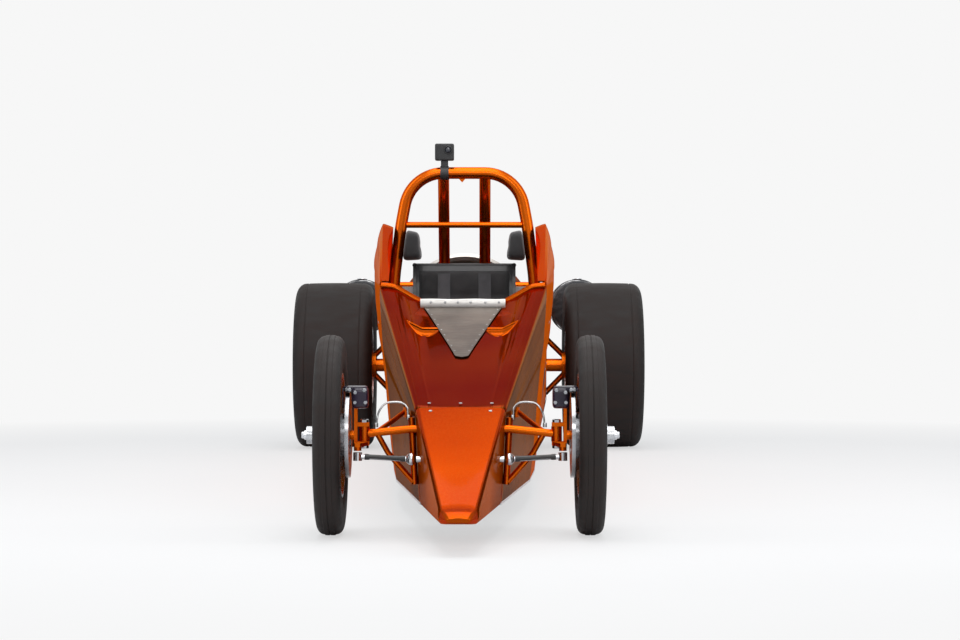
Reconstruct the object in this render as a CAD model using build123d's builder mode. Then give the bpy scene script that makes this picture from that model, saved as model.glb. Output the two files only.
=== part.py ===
from build123d import *
from math import cos, radians, sin, tan
import os

# Jet dragster, nose towards -Y, +Z up, origin on the ground under the middle of its length.
# Stations s are distances behind the front axle line. All sizes are in millimetres.

os.makedirs("parts", exist_ok=True)

# Overall layout
wheelbase = 5080
nose_overhang = 750
tail_overhang = 870
length = nose_overhang + wheelbase + tail_overhang
belly_z = 95
pan_thickness = 8
floor_z = belly_z + pan_thickness
skin = 12
seat_gap = 0.3
run_gap = 0.4

# Front wheels
front_tyre_radius = 317.5
front_tyre_width = 84
front_track = 822
front_mid = front_track / 2
front_seat_radius = 198.5
hub_z = front_tyre_radius
kingpin_x = front_mid - 106
steer_arm = 100
steer_arm_x = kingpin_x + 17
stub_radius = 14
rear_stub_radius = 25
rack_bar_radius = 10

# Rear wheels
rear_tyre_radius = 419
rear_tyre_width = 392
rear_track = 1360
rear_seat_radius = 200.5
rear_hub_z = rear_tyre_radius

# Frame tubes
rail_radius = 16
upright_radius = 12
floor_tube_radius = 9.5
hoop_radius = 22.5
hoop_s = 1670
frame_end_s = wheelbase + 220
skin_end_s = frame_end_s + 50

# Engine
engine_z = 660
intake_s = 2150
casing_s = 2290
pipe_s = 3900
pipe_radius = 200
pipe_wall = 8
nozzle_s = wheelbase + 370
nozzle_end_s = nozzle_s + 350


def y_at(s):
    """Distance along the car of a station measured back from the front axle."""
    return s - length / 2 + nose_overhang


def across(s):
    """Upright plane across the car at a station, x to the left seen from the driver, z up."""
    return Plane(origin=(0, y_at(s), 0), x_dir=(1, 0, 0), z_dir=(0, -1, 0))


def point(x, s, z):
    """Point at a half width, a station and a height."""
    return (x, y_at(s), z)


def add_panels(rows, mode=Mode.ADD):
    """Solid between closed outlines, each given as (station, points), its skew panels folded on a diagonal."""
    rings = [[Vector(*point(x, s, z)) for x, z in outline] for s, outline in rows]
    faces = [Face(Wire.make_polygon(rings[0])), Face(Wire.make_polygon(rings[-1]))]
    for near, far in zip(rings, rings[1:]):
        for a, b, c, d in zip(near, near[1:] + near[:1], far[1:] + far[:1], far):
            if (c - a).length < (d - b).length:
                folds = (a, b, c), (a, c, d)
            else:
                folds = (a, b, d), (b, c, d)
            faces += [Face(Wire.make_polygon(fold)) for fold in folds]
    add(Solid(Shell(faces)), mode=mode)


def add_tube(points, radius, bend=40, mode=Mode.ADD):
    """Round tube along straight runs, with tangent arcs of one bend radius at the corners."""
    first = Vector(*points[0])
    second = Vector(*points[1])
    with BuildSketch(Plane(origin=first, z_dir=second - first), mode=Mode.PRIVATE) as end:
        Circle(radius)
    if len(points) == 2:
        extrude(end.sketch.face(), amount=(second - first).length, mode=mode)
    else:
        with BuildLine(mode=Mode.PRIVATE) as run:
            FilletPolyline(*points, radius=bend)
        sweep(end.sketch.face(), path=run.wire(), mode=mode)


def add_welded_run(points, radius, mode=Mode.ADD):
    """Round tube of straight lengths that meet at slight angles."""
    for start, stop in zip(points, points[1:]):
        first = Vector(*start)
        run = Vector(*stop) - first
        with BuildSketch(Plane(origin=first, z_dir=run), mode=Mode.PRIVATE) as end:
            Circle(radius)
        extrude(end.sketch.face(), amount=run.length, mode=mode)


def add_drum(x_inner, x_outer, radius, s, z, mode=Mode.ADD):
    """Solid disc or shaft with its axis across the car."""
    with BuildSketch(Plane(origin=(x_inner, y_at(s), z), z_dir=(1, 0, 0)), mode=Mode.PRIVATE) as end:
        Circle(radius)
    extrude(end.sketch.face(), amount=x_outer - x_inner, mode=mode)


def add_block(x0, x1, s0, s1, z0, z1, mode=Mode.ADD):
    """Block between two half widths, two stations and two heights."""
    with Locations(((x0 + x1) / 2, y_at((s0 + s1) / 2), (z0 + z1) / 2)):
        Box(abs(x1 - x0), abs(s1 - s0), abs(z1 - z0), mode=mode)


def revolve_about_wheel(outline, s, z, mode=Mode.ADD):
    """Turned form about a wheel axis, outline given as (x, radius) points."""
    plane = Plane(origin=(0, y_at(s), z), z_dir=(0, -1, 0), x_dir=(1, 0, 0))
    with BuildSketch(plane, mode=Mode.PRIVATE) as half:
        with BuildLine():
            Polyline(*outline, close=True)
        make_face()
    revolve(half.sketch.face(), axis=Axis((0, y_at(s), z), (1, 0, 0)), mode=mode)


def revolve_about_engine(outline, mode=Mode.ADD):
    """Turned form about the engine axis, outline given as (station, radius) points."""
    plane = Plane(origin=(0, y_at(0), engine_z), x_dir=(0, 1, 0), z_dir=(1, 0, 0))
    with BuildSketch(plane, mode=Mode.PRIVATE) as half:
        with BuildLine():
            Polyline(*outline, close=True)
        make_face()
    revolve(half.sketch.face(), axis=Axis((0, 0, engine_z), (0, 1, 0)), mode=mode)


# Stations of the body side skin: half widths and heights of its top edge, two creases and foot
side_rows = (
    # s, top x, top z, upper x, upper z, lower x, lower z, foot x
    (1100, 300, 800, 297, 690, 272, 455, 240),
    (1670, 342, 860, 338, 735, 306, 490, 268),
    (3200, 350, 850, 352, 735, 340, 430, 300),
    (wheelbase - 380, 372, 830, 385, 720, 385, 250, 352),
    (skin_end_s, 372, 800, 385, 700, 385, 250, 352),
)

# Stations of the shoulder panel: foot, widest line, sharp tip and inward return
shoulder_rows = (
    # s, foot x, foot z, wide x, wide z, tip x, tip z, return x, return z
    (1110, 301, 801.5, 301, 808, 293, 816, 268, 814),
    (1670, 342, 860.3, 345, 905, 310, 1040, 270, 1025),
    (2300, 345, 856.3, 347, 890, 325, 985, 294, 975),
    (3100, 349.4, 851, 349.6, 858, 345, 872, 322, 870),
)

# Stations of the frame: lower rail half width, upper rail half width and height
rail_rows = (
    # s, lower x, upper x, upper z
    (16, 94, 106, 346),
    (1100, 206, 255, 690),
    (1670, 234, 268, 780),
    (3200, 268, 300, 770),
    (frame_end_s, 322, 337, 740),
)
lower_rail_z = floor_z + rail_radius


def rail_at(s):
    """Half widths and height of the frame rails at a station, between the rows of the table."""
    for low, high in zip(rail_rows, rail_rows[1:]):
        if low[0] <= s <= high[0]:
            t = (s - low[0]) / (high[0] - low[0])
            return [a + t * (b - a) for a, b in zip(low[1:], high[1:])]


# Nose cone: a flat-topped wedge that narrows to a blunt tip, cut from a block by flat planes
nose_half = 143
nose_top_z = 405
nose_foot_half = 128
nose_tip_s = 60 - nose_overhang
nose_tip_half = 58
nose_tip_top_z = 136
nose_blunt_half = 34
nose_blunt_z = 112
rack_s = -steer_arm
rack_z = 247
axle_tube_z = 337


def plane_through(a, b, c, side):
    """Plane through three points, facing the given side of the car."""
    normal = (Vector(*b) - Vector(*a)).cross(Vector(*c) - Vector(*a))
    if normal.X * side < 0:
        normal = -normal
    return Plane(origin=a, z_dir=normal)


with BuildPart() as nose_cone:
    with BuildSketch(Plane(origin=(-nose_half - 10, y_at(0), 0), x_dir=(0, 1, 0), z_dir=(1, 0, 0))):
        with BuildLine():
            Polyline(
                (0, belly_z), (0, nose_top_z), (nose_tip_s, nose_tip_top_z), (-nose_overhang, nose_blunt_z),
                (-nose_overhang, belly_z + 6), (nose_tip_s, belly_z - 3), (nose_tip_s + 200, belly_z - 3),
                close=True,
            )
        make_face()
    extrude(amount=2 * nose_half + 20)
    lean = (nose_half - nose_foot_half) / (nose_top_z - belly_z)
    for side in (-1, 1):
        foot = point(side * nose_foot_half, 0, belly_z)
        chine = point(side * nose_half, 0, nose_top_z)
        tip = point(side * nose_tip_half, nose_tip_s, nose_tip_top_z)
        blunt = point(side * nose_blunt_half, -nose_overhang, nose_blunt_z)
        tip_foot = point(side * (nose_tip_half - 40 * lean), nose_tip_s, nose_tip_top_z - 40)
        split(bisect_by=plane_through(foot, chine, tip, side), keep=Keep.BOTTOM)
        split(bisect_by=plane_through(tip, tip_foot, blunt, side), keep=Keep.BOTTOM)
    add_drum(-200, 200, 19, 0, axle_tube_z, mode=Mode.SUBTRACT)
    add_drum(-200, 200, 24, rack_s, rack_z, mode=Mode.SUBTRACT)
nose_cone.part.label = "nose_cone"
export_step(nose_cone.part, "parts/nose_cone.step")

# Front cowl: shell over the driver's legs, its top dished towards the cockpit lip
cowl_rows = (
    # s, foot x, lower x, lower z, upper x, upper z, chine x, chine z, rim x, rim z, dish x, dish z
    (0, 128, 136, 260, 141, 370, 143, 405, 118, 405, 75, 404),
    (1100, 240, 272, 455, 297, 690, 300, 800, 245, 795, 165, 748),
)


def cowl_outline(row, inset, foot_z):
    """Closed section of the cowl, drawn in by the skin thickness where asked."""
    s, fx, lx, lz, ux, uz, cx, cz, rx, rz, dx, dz = row
    half = (
        (fx - inset, foot_z),
        (lx - inset, lz),
        (ux - inset, uz - inset / 2),
        (cx - inset, cz - inset),
        (rx - inset / 3, rz - inset),
        (dx - inset / 3, dz - inset),
    )
    return half + tuple((-x, z) for x, z in reversed(half))


vent_s0 = 690
vent_s1 = 780
vent_x0 = 76
vent_x1 = 190
cowl_slope = (748 - 404) / 1100
lip_radius = 9
lip_s = cowl_rows[1][0] - lip_radius - 2
lip_line = ((162, 744), (243, 791), (294, 796))
with BuildPart() as front_cowl:
    add_panels([(row[0], cowl_outline(row, 0, floor_z)) for row in cowl_rows])
    add_panels([(row[0], cowl_outline(row, skin, belly_z)) for row in cowl_rows], mode=Mode.SUBTRACT)
    add_drum(-200, 200, 19, 0, axle_tube_z, mode=Mode.SUBTRACT)
    with BuildSketch(Plane.XY.offset(500)) as vents:
        for side in (-1, 1):
            with BuildLine():
                Polyline(
                    (side * vent_x0, y_at(vent_s1)),
                    (side * vent_x1, y_at(vent_s1)),
                    (side * (vent_x1 - 30), y_at(vent_s0 + 15)),
                    (side * (vent_x0 + 40), y_at(vent_s0)),
                    close=True,
                )
            make_face()
    extrude(amount=300, mode=Mode.SUBTRACT)
    for side in (-1, 1):
        with BuildLine() as lip:
            Polyline(*[point(side * x, lip_s, z) for x, z in lip_line])
        lip_path = lip.wire()
        with BuildSketch(Plane(origin=lip_path @ 0, z_dir=lip_path % 0)):
            Circle(lip_radius)
        sweep(path=lip_path, transition=Transition.RIGHT)
front_cowl.part.label = "front_cowl"
export_step(front_cowl.part, "parts/front_cowl.step")

# Riveted plate on the cowl: a long V with an upstanding band at the cockpit lip
plate_thickness = 3
plate_plane = Plane(
    origin=point(0, 0, 404 + seat_gap), x_dir=(1, 0, 0), z_dir=(0, -cowl_slope, 1)
)
with BuildPart() as cowl_plate:
    with BuildSketch(plate_plane):
        with BuildLine():
            Polyline(
                (-150, 1048), (-117, 912), (-44, 587), (-22, 480), (0, 470),
                (22, 480), (44, 587), (117, 912), (150, 1048), close=True,
            )
        make_face()
    extrude(amount=plate_thickness)
    add_block(-152, 152, 1000, 1004, 719, 750)
cowl_plate.part.label = "cowl_plate"
export_step(cowl_plate.part, "parts/cowl_plate.step")

# Belly pan: flat floor from the nose to the tail
with BuildPart() as belly_pan:
    with BuildSketch(Plane.XY.offset(belly_z)):
        with BuildLine():
            edge = [(128, y_at(0))] + [(row[7], y_at(row[0])) for row in side_rows]
            Polyline(*edge, *[(-x, y) for x, y in reversed(edge)], close=True)
        make_face()
    extrude(amount=pan_thickness)
belly_pan.part.label = "belly_pan"
export_step(belly_pan.part, "parts/belly_pan.step")


# Body sides: creased skins from the cockpit lip to the tail, open for the rear axle
def side_outline(side, row):
    """Section of one side skin: outer face down to the foot, then back up inside."""
    s, tx, tz, ux, uz, lx, lz, fx = row
    outer = [(tx, tz), (ux, uz), (lx, lz), (fx, floor_z)]
    inner = [(x - skin, z) for x, z in reversed(outer)]
    return [(side * x, z) for x, z in outer + inner]


axle_tube_radius = 32.5
with BuildPart() as body_side_left:
    add_panels([(row[0], side_outline(1, row)) for row in side_rows])
    add_drum(300, 420, axle_tube_radius + 0.5, wheelbase, rear_hub_z, mode=Mode.SUBTRACT)
body_side_left.part.label = "body_side_left"
export_step(body_side_left.part, "parts/body_side_left.step")

with BuildPart() as body_side_right:
    add_panels([(row[0], side_outline(-1, row)) for row in side_rows])
    add_drum(-420, -300, axle_tube_radius + 0.5, wheelbase, rear_hub_z, mode=Mode.SUBTRACT)
body_side_right.part.label = "body_side_right"
export_step(body_side_right.part, "parts/body_side_right.step")


# Shoulder panels: skins that rise beside the driver to a sharp edge and turn inwards
def shoulder_outline(side, row):
    """Section of one shoulder panel, eight points round its bent skin."""
    s, fx, fz, wx, wz, tx, tz, rx, rz = row
    shell = 8
    outline = (
        (fx, fz), (wx, wz), (tx, tz), (rx, rz),
        (rx, rz - shell), (tx - shell / 2, tz - shell), (wx - shell, wz), (fx - shell, fz),
    )
    return [(side * x, z) for x, z in outline]


with BuildPart() as shoulder_panels:
    for side in (-1, 1):
        add_panels([(row[0], shoulder_outline(side, row)) for row in shoulder_rows])
shoulder_panels.part.label = "shoulder_panels"
export_step(shoulder_panels.part, "parts/shoulder_panels.step")

# Frame sides: a lower and an upper rail on each side with uprights between them
upright_stations = (28, 560, 1080, 1660, 2380, 3060, 3740, wheelbase - 660, frame_end_s - 12)


def make_frame_side(side):
    """One side of the frame, welded from two rails and its uprights."""
    with BuildPart() as frame_side:
        add_welded_run([point(side * low, s, lower_rail_z) for s, low, high, z in rail_rows], rail_radius)
        add_welded_run([point(side * high, s, z) for s, low, high, z in rail_rows], rail_radius)
        for s in upright_stations:
            low, high, z = rail_at(s)
            add_tube([point(side * low, s, lower_rail_z), point(side * high, s, z)], upright_radius)
    return frame_side.part


with BuildPart() as frame_left:
    add(make_frame_side(1))
frame_left.part.label = "frame_left"
export_step(frame_left.part, "parts/frame_left.step")

with BuildPart() as frame_right:
    add(make_frame_side(-1))
frame_right.part.label = "frame_right"
export_step(frame_right.part, "parts/frame_right.step")

# Cross members: floor tubes between the lower rails, and the plates that cradle the engine
saddle_rows = (
    # s, cradle radius
    (2600, 234),
    (3300, 240),
    (wheelbase - 480, pipe_radius),
)
with BuildPart() as cross_members:
    for s in upright_stations[1:]:
        low = rail_at(s)[0]
        add_tube([point(-low, s, lower_rail_z), point(low, s, lower_rail_z)], floor_tube_radius)
    for s, radius in saddle_rows:
        low = rail_at(s)[0]
        add_block(-low, low, s, s + 14, lower_rail_z - floor_tube_radius, engine_z - 60)
        revolve_about_engine(
            ((s - 5, 0), (s - 5, radius + seat_gap), (s + 20, radius + seat_gap), (s + 20, 0)),
            mode=Mode.SUBTRACT,
        )
    for side in (-1, 1):
        add_welded_run([point(side * low, s, lower_rail_z) for s, low, high, z in rail_rows],
                       rail_radius + seat_gap, mode=Mode.SUBTRACT)
cross_members.part.label = "cross_members"
export_step(cross_members.part, "parts/cross_members.step")

# Roll hoop: one bent tube standing on the upper rails
hoop_foot_z = rail_at(hoop_s)[2] + rail_radius + seat_gap
hoop_top_z = 1231.5
hoop_side = ((268, hoop_foot_z), (264, 850), (240, 1034), (203, hoop_top_z))
hoop_line = [point(-x, hoop_s, z) for x, z in hoop_side] + [point(x, hoop_s, z) for x, z in reversed(hoop_side)]
hoop_bend = 90
with BuildPart() as roll_hoop:
    add_tube(hoop_line, hoop_radius, bend=hoop_bend)
roll_hoop.part.label = "roll_hoop"
export_step(roll_hoop.part, "parts/roll_hoop.step")

# Hoop stays: two tubes running back from the hoop's top to a cross tube, and a bar behind the head
stay_x = 79
stay_foot_s = 1980
stay_foot_z = 800
with BuildPart() as hoop_stays:
    for side in (-1, 1):
        add_tube(
            [point(side * stay_x, hoop_s, hoop_top_z), point(side * stay_x, stay_foot_s, stay_foot_z)],
            hoop_radius - 1,
        )
    add_tube([point(-290, stay_foot_s, stay_foot_z), point(290, stay_foot_s, stay_foot_z)], 19)
    add_tube([point(-236, hoop_s, 1034), point(236, hoop_s, 1034)], 11.5)
    add_tube(hoop_line, hoop_radius + seat_gap, bend=hoop_bend, mode=Mode.SUBTRACT)
    for side in (-1, 1):
        rail = [point(side * rail_at(s)[1], s, rail_at(s)[2]) for s in (1800, 2200)]
        add_tube(rail, rail_radius + seat_gap, mode=Mode.SUBTRACT)
hoop_stays.part.label = "hoop_stays"
export_step(hoop_stays.part, "parts/hoop_stays.step")

# Head pads: blocks inside the hoop legs
with BuildPart() as head_pads:
    for side in (-1, 1):
        pad = ((234.5, 900), (219.5, 1012), (178, 1000), (170, 905))
        outline = [(side * x, z) for x, z in pad]
        add_panels([(1570, outline), (1760, outline)])
head_pads.part.label = "head_pads"
export_step(head_pads.part, "parts/head_pads.step")

# Seat shell: a bucket that leans back to the firewall
seat_half = 196
seat_wall = 12
with BuildPart() as seat_shell:
    with BuildSketch(Plane(origin=(-seat_half, y_at(0), 0), x_dir=(0, 1, 0), z_dir=(1, 0, 0))):
        with BuildLine():
            Polyline((1290, floor_z), (1600, floor_z), (1788, 880), (1700, 880), (1570, 440),
                     (1290, 250), close=True)
        make_face()
    extrude(amount=2 * seat_half)
    with BuildSketch(Plane(origin=(seat_wall - seat_half, y_at(0), 0), x_dir=(0, 1, 0), z_dir=(1, 0, 0))):
        with BuildLine():
            Polyline((1200, 150), (1594, 150), (1776, 900), (1200, 900), close=True)
        make_face()
    extrude(amount=2 * (seat_half - seat_wall), mode=Mode.SUBTRACT)
seat_shell.part.label = "seat_shell"
export_step(seat_shell.part, "parts/seat_shell.step")

# Seat belts: shoulder and lap straps that lie on the seat and meet at a buckle
belt_thickness = 6
back_lean = (1776 - 1594) / (900 - 150)
with BuildPart() as seat_belts:
    back_plane = Plane(
        origin=point(0, 1594 - seat_gap, 150), x_dir=(1, 0, 0), z_dir=(0, -1, back_lean)
    )
    with BuildSketch(back_plane):
        with Locations((-75, 400), (75, 400)):
            Rectangle(50, 640)
    extrude(amount=belt_thickness)
    add_block(-seat_half + seat_wall + 1, seat_half - seat_wall - 1, 1500, 1550, 150 + seat_gap, 156)
    add_block(-45, 45, 1480, 1570, 150 + seat_gap, 176)
    for side in (-1, 1):
        add_block(side * 50, side * 100, 1540, 1592, 150 + seat_gap, 156)
seat_belts.part.label = "seat_belts"
export_step(seat_belts.part, "parts/seat_belts.step")

# Firewall: sheet between the seat and the engine
with BuildPart() as firewall:
    with BuildSketch(across(1800)):
        with BuildLine():
            Polyline((-200, floor_z), (200, floor_z), (200, 140), (240, 170), (240, 800),
                     (-240, 800), (-240, 170), (-200, 140), close=True)
        make_face()
    extrude(amount=-4)
firewall.part.label = "firewall"
export_step(firewall.part, "parts/firewall.step")

# Steering column with its pedestal and the cross tube that carries it
wheel_s = 1290
wheel_z = 640
column_angle = 20
column_radius = 16
column_end = 55
hand_shaft_radius = 10
hand_shaft_length = 95


def column_z(s):
    """Height of the column's centre line at a station."""
    return wheel_z - (wheel_s - s) * tan(radians(column_angle))


dash_s = 1050
column_dir = (0, cos(radians(column_angle)), sin(radians(column_angle)))
wheel_plane = Plane(origin=point(0, wheel_s, wheel_z), x_dir=(1, 0, 0), z_dir=column_dir)
with BuildPart() as steering_column:
    with BuildSketch(wheel_plane.offset(-column_end)):
        Circle(column_radius)
    extrude(amount=-670)
    add_tube([point(0, 620, floor_z), point(0, 620, column_z(620))], 14)
    low, high, z = rail_at(dash_s)
    add_tube([point(-high, dash_s, z), point(high, dash_s, z)], 14)
    add_tube([point(0, dash_s, z), point(0, dash_s, column_z(dash_s))], 12)
    for side in (-1, 1):
        add_tube([point(side * x, s, z) for s, low, x, z in rail_rows[:2]], rail_radius + seat_gap,
                 mode=Mode.SUBTRACT)
    with BuildSketch(wheel_plane.offset(-column_end)):
        Circle(hand_shaft_radius + run_gap)
    extrude(amount=column_end - hand_shaft_length - 5, mode=Mode.SUBTRACT)
steering_column.part.label = "steering_column"
export_step(steering_column.part, "parts/steering_column.step")

# Dash panel: small plate on the cross tube
with BuildPart() as dash_panel:
    add_block(-150, 150, dash_s + 14 + seat_gap, dash_s + 20, 600, 712)
    with Locations(point(0, dash_s + 17, column_z(dash_s + 17))):
        Box(44, 20, 200, mode=Mode.SUBTRACT)
dash_panel.part.label = "dash_panel"
export_step(dash_panel.part, "parts/dash_panel.step")

# Steering wheel: a butterfly of two loops on a hub
grip_radius = 10
with BuildPart() as steering_wheel:
    with BuildSketch(wheel_plane.offset(-hand_shaft_length)):
        Circle(hand_shaft_radius)
    extrude(amount=hand_shaft_length)
    with BuildSketch(wheel_plane.offset(-12)):
        Circle(40)
    extrude(amount=24)
    for side in (-1, 1):
        corners = ((22, -14), (62, -72), (128, -62), (140, 0), (128, 62), (62, 72), (22, 14))
        loop = [wheel_plane.from_local_coords((side * x, y, 0)) for x, y in corners]
        with BuildLine() as grip:
            Polyline(*loop)
        grip_path = grip.wire()
        with BuildSketch(Plane(origin=grip_path @ 0, z_dir=grip_path % 0)):
            Circle(grip_radius)
        sweep(path=grip_path, transition=Transition.RIGHT)
steering_wheel.part.label = "steering_wheel"
export_step(steering_wheel.part, "parts/steering_wheel.step")

# Pedals: throttle and brake on a floor plate
with BuildPart() as pedals:
    add_block(-120, 120, 440, 520, floor_z, floor_z + 8)
    for side in (-1, 1):
        add_block(side * 55, side * 67, 470, 490, floor_z, 270)
        add_block(side * 30, side * 92, 484, 494, 220, 330)
pedals.part.label = "pedals"
export_step(pedals.part, "parts/pedals.step")

# Engine casing: stepped turned body from the compressor to the turbine
with BuildPart() as engine_casing:
    revolve_about_engine(
        (
            (casing_s, 0), (casing_s, 252), (casing_s + 20, 252), (casing_s + 30, 240), (2880, 228),
            (2890, 250), (2920, 250), (2930, 240), (3420, 240), (3430, 252), (3460, 252), (3470, 236),
            (pipe_s - 24, 212), (pipe_s - 20, 222), (pipe_s, 222), (pipe_s, 0),
        )
    )
engine_casing.part.label = "engine_casing"
export_step(engine_casing.part, "parts/engine_casing.step")

# Intake ring: rolled bell mouth with a bullet on struts ahead of the compressor
with BuildPart() as intake_ring:
    revolve_about_engine(
        (
            (casing_s, 252), (intake_s + 40, 262), (intake_s + 12, 274), (intake_s, 262),
            (intake_s + 8, 248), (intake_s + 50, 232), (casing_s, 226),
        )
    )
    revolve_about_engine(
        ((intake_s + 10, 0), (intake_s + 30, 40), (intake_s + 80, 68), (casing_s, 76), (casing_s, 0))
    )
    with BuildSketch(across(intake_s + 90), mode=Mode.PRIVATE) as strut:
        with PolarLocations(0, 8):
            with Locations((150, 0)):
                Rectangle(170, 6)
    extrude(Plane.XY.offset(engine_z).location * strut.sketch, amount=-40)
intake_ring.part.label = "intake_ring"
export_step(intake_ring.part, "parts/intake_ring.step")

# Tail pipe: long plain tube behind the turbine
with BuildPart() as tail_pipe:
    revolve_about_engine(
        (
            (pipe_s, 222), (pipe_s + 20, 222), (pipe_s + 24, pipe_radius + 6), (pipe_s + 120, pipe_radius),
            (nozzle_s - 20, pipe_radius), (nozzle_s - 20, pipe_radius + 14), (nozzle_s, pipe_radius + 14),
            (nozzle_s, pipe_radius - pipe_wall), (pipe_s + 120, pipe_radius - pipe_wall),
            (pipe_s, pipe_radius - 2),
        )
    )
tail_pipe.part.label = "tail_pipe"
export_step(tail_pipe.part, "parts/tail_pipe.step")

# Exhaust nozzle: cone that closes towards the outlet
with BuildPart() as exhaust_nozzle:
    revolve_about_engine(
        (
            (nozzle_s, 214), (nozzle_s + 20, 214), (nozzle_s + 24, 204), (nozzle_s + 60, 202),
            (nozzle_end_s, 172), (nozzle_end_s, 166), (nozzle_s + 60, 194), (nozzle_s, 194),
        )
    )
exhaust_nozzle.part.label = "exhaust_nozzle"
export_step(exhaust_nozzle.part, "parts/exhaust_nozzle.step")


def cowl_half(s, z):
    """Half width of the cowl's outer skin at a station and a height up to its chine, its panels folded."""
    t = s / cowl_rows[1][0]
    near, far = [((row[1], floor_z), row[2:4], row[4:6], row[6:8]) for row in cowl_rows]
    ends = [pair for i in range(4) for pair in ((near[i], far[i - 1]), (near[i], far[i]))][1:]
    line = [(x0 + t * (x1 - x0), z0 + t * (z1 - z0)) for (x0, z0), (x1, z1) in ends]
    for (x0, z0), (x1, z1) in zip(line, line[1:]):
        if z <= z1:
            return x0 + (z - z0) / (z1 - z0) * (x1 - x0)


# Front axle: cross tube with kingpin bosses, bent lower struts and radius arms
boss_radius = 17
kingpin_radius = 9
boss_z0 = 298
boss_z1 = 345
with BuildPart() as front_axle:
    add_tube(
        [
            point(-kingpin_x, 0, hub_z + 4), point(-154, 0, axle_tube_z),
            point(154, 0, axle_tube_z), point(kingpin_x, 0, hub_z + 4),
        ],
        12.5,
        bend=60,
    )
    for side in (-1, 1):
        with BuildSketch(Plane(origin=point(side * kingpin_x, 0, boss_z0))):
            Circle(boss_radius)
        extrude(amount=boss_z1 - boss_z0)
        add_tube(
            [
                point(side * (kingpin_x - 43), 0, 318), point(side * (kingpin_x - 74), 8, 262),
                point(side * (kingpin_x - 96), 12, 235), point(side * 146, 20, 164),
            ],
            9,
            bend=20,
        )
        lug_x = cowl_half(330, 376) + seat_gap + 10
        add_tube(
            [
                point(side * (kingpin_x - 37), 4, 326), point(side * (kingpin_x - 85), 150, 356),
                point(side * lug_x, 330, 376),
            ],
            8,
        )
        pad_rows = []
        for s in (310, 352):
            inner = [(cowl_half(s, z) + seat_gap, z) for z in (360, 392)]
            outer = [(x + 10, z) for x, z in reversed(inner)]
            pad_rows.append((s, [(side * x, z) for x, z in inner + outer]))
        add_panels(pad_rows)
        post = [(cowl_half(32, z) + 11 + seat_gap, z) for z in (160, 372)]
        add_tube([point(side * x, 20, z) for x, z in post], 11)
        with BuildSketch(Plane(origin=point(side * kingpin_x, 0, boss_z0 - 5))):
            Circle(kingpin_radius + run_gap)
        extrude(amount=60, mode=Mode.SUBTRACT)
front_axle.part.label = "front_axle"
export_step(front_axle.part, "parts/front_axle.step")


# Knuckles: a fork round the kingpin boss, its stub shaft, brake bracket and steering arm
fork_x0 = kingpin_x - 15
fork_x1 = kingpin_x + 32
fork_web_x = fork_x1 - 10
stub_end_x = front_mid + 65


def make_knuckle(side):
    """One steering knuckle on the left (1) or right (-1) side."""
    with BuildPart() as knuckle:
        for z0, z1 in ((boss_z1 + run_gap, boss_z1 + 13), (boss_z0 - 13, boss_z0 - run_gap)):
            add_block(side * fork_x0, side * fork_x1, -17, 17, z0, z1)
        add_block(side * fork_web_x, side * fork_x1, -22, 22, boss_z0 - 13, boss_z1 + 13)
        add_block(side * fork_web_x, side * fork_x1, -16, 16, boss_z1 + 10, 402)
        with BuildSketch(Plane(origin=point(side * kingpin_x, 0, boss_z0 - 16))):
            Circle(kingpin_radius)
        extrude(amount=boss_z1 - boss_z0 + 32)
        add_drum(side * (fork_x1 - 7), side * stub_end_x, stub_radius, 0, hub_z)
        add_drum(side * (stub_end_x - 6), side * (stub_end_x + 27), 7, 0, hub_z)
        with BuildSketch(Plane.XY.offset(boss_z0 - 13)):
            with BuildLine():
                Polyline(
                    (side * fork_x0, y_at(-10)), (side * fork_x1, y_at(-10)),
                    (side * (steer_arm_x + 12), y_at(rack_s)), (side * (steer_arm_x + 8), y_at(rack_s - 12)),
                    (side * (steer_arm_x - 8), y_at(rack_s - 12)), (side * (steer_arm_x - 12), y_at(rack_s)),
                    close=True,
                )
            make_face()
        extrude(amount=12)
        with BuildSketch(Plane(origin=point(side * steer_arm_x, rack_s, 273))):
            Circle(12)
        extrude(amount=14)
    return knuckle.part


with BuildPart() as knuckle_left:
    add(make_knuckle(1))
knuckle_left.part.label = "knuckle_left"
export_step(knuckle_left.part, "parts/knuckle_left.step")

with BuildPart() as knuckle_right:
    add(make_knuckle(-1))
knuckle_right.part.label = "knuckle_right"
export_step(knuckle_right.part, "parts/knuckle_right.step")


# Calipers: blocks that straddle the discs above the stub shafts
disc_radius = 135
disc_x0 = front_mid - 61
disc_x1 = disc_x0 + 12


def make_caliper(side):
    """One caliper, slotted for its disc."""
    with BuildPart() as caliper:
        add_block(side * (fork_x0 + 2), side * (disc_x1 + 12), -50, 50, 402 + seat_gap, 474)
        add_drum(side * (disc_x0 - 6), side * (disc_x1 + 6), disc_radius + 6, 0, hub_z, mode=Mode.SUBTRACT)
    return caliper.part


with BuildPart() as caliper_left:
    add(make_caliper(1))
caliper_left.part.label = "caliper_left"
export_step(caliper_left.part, "parts/caliper_left.step")

with BuildPart() as caliper_right:
    add(make_caliper(-1))
caliper_right.part.label = "caliper_right"
export_step(caliper_right.part, "parts/caliper_right.step")


# Brake discs: a ring on a hat that bolts to the wheel's hub
hat_x0 = disc_x1 + 17
hat_x1 = hat_x0 + 6


def make_disc(side):
    """One front brake disc."""
    outline = (
        (disc_x0, disc_radius), (disc_x1, disc_radius), (disc_x1, 72), (hat_x1, 72), (hat_x1, 33),
        (hat_x0, 33), (hat_x0, 64), (disc_x0, 64),
    )
    with BuildPart() as disc:
        revolve_about_wheel([(side * x, r) for x, r in outline], 0, hub_z)
    return disc.part


with BuildPart() as brake_disc_left:
    add(make_disc(1))
brake_disc_left.part.label = "brake_disc_left"
export_step(brake_disc_left.part, "parts/brake_disc_left.step")

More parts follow.
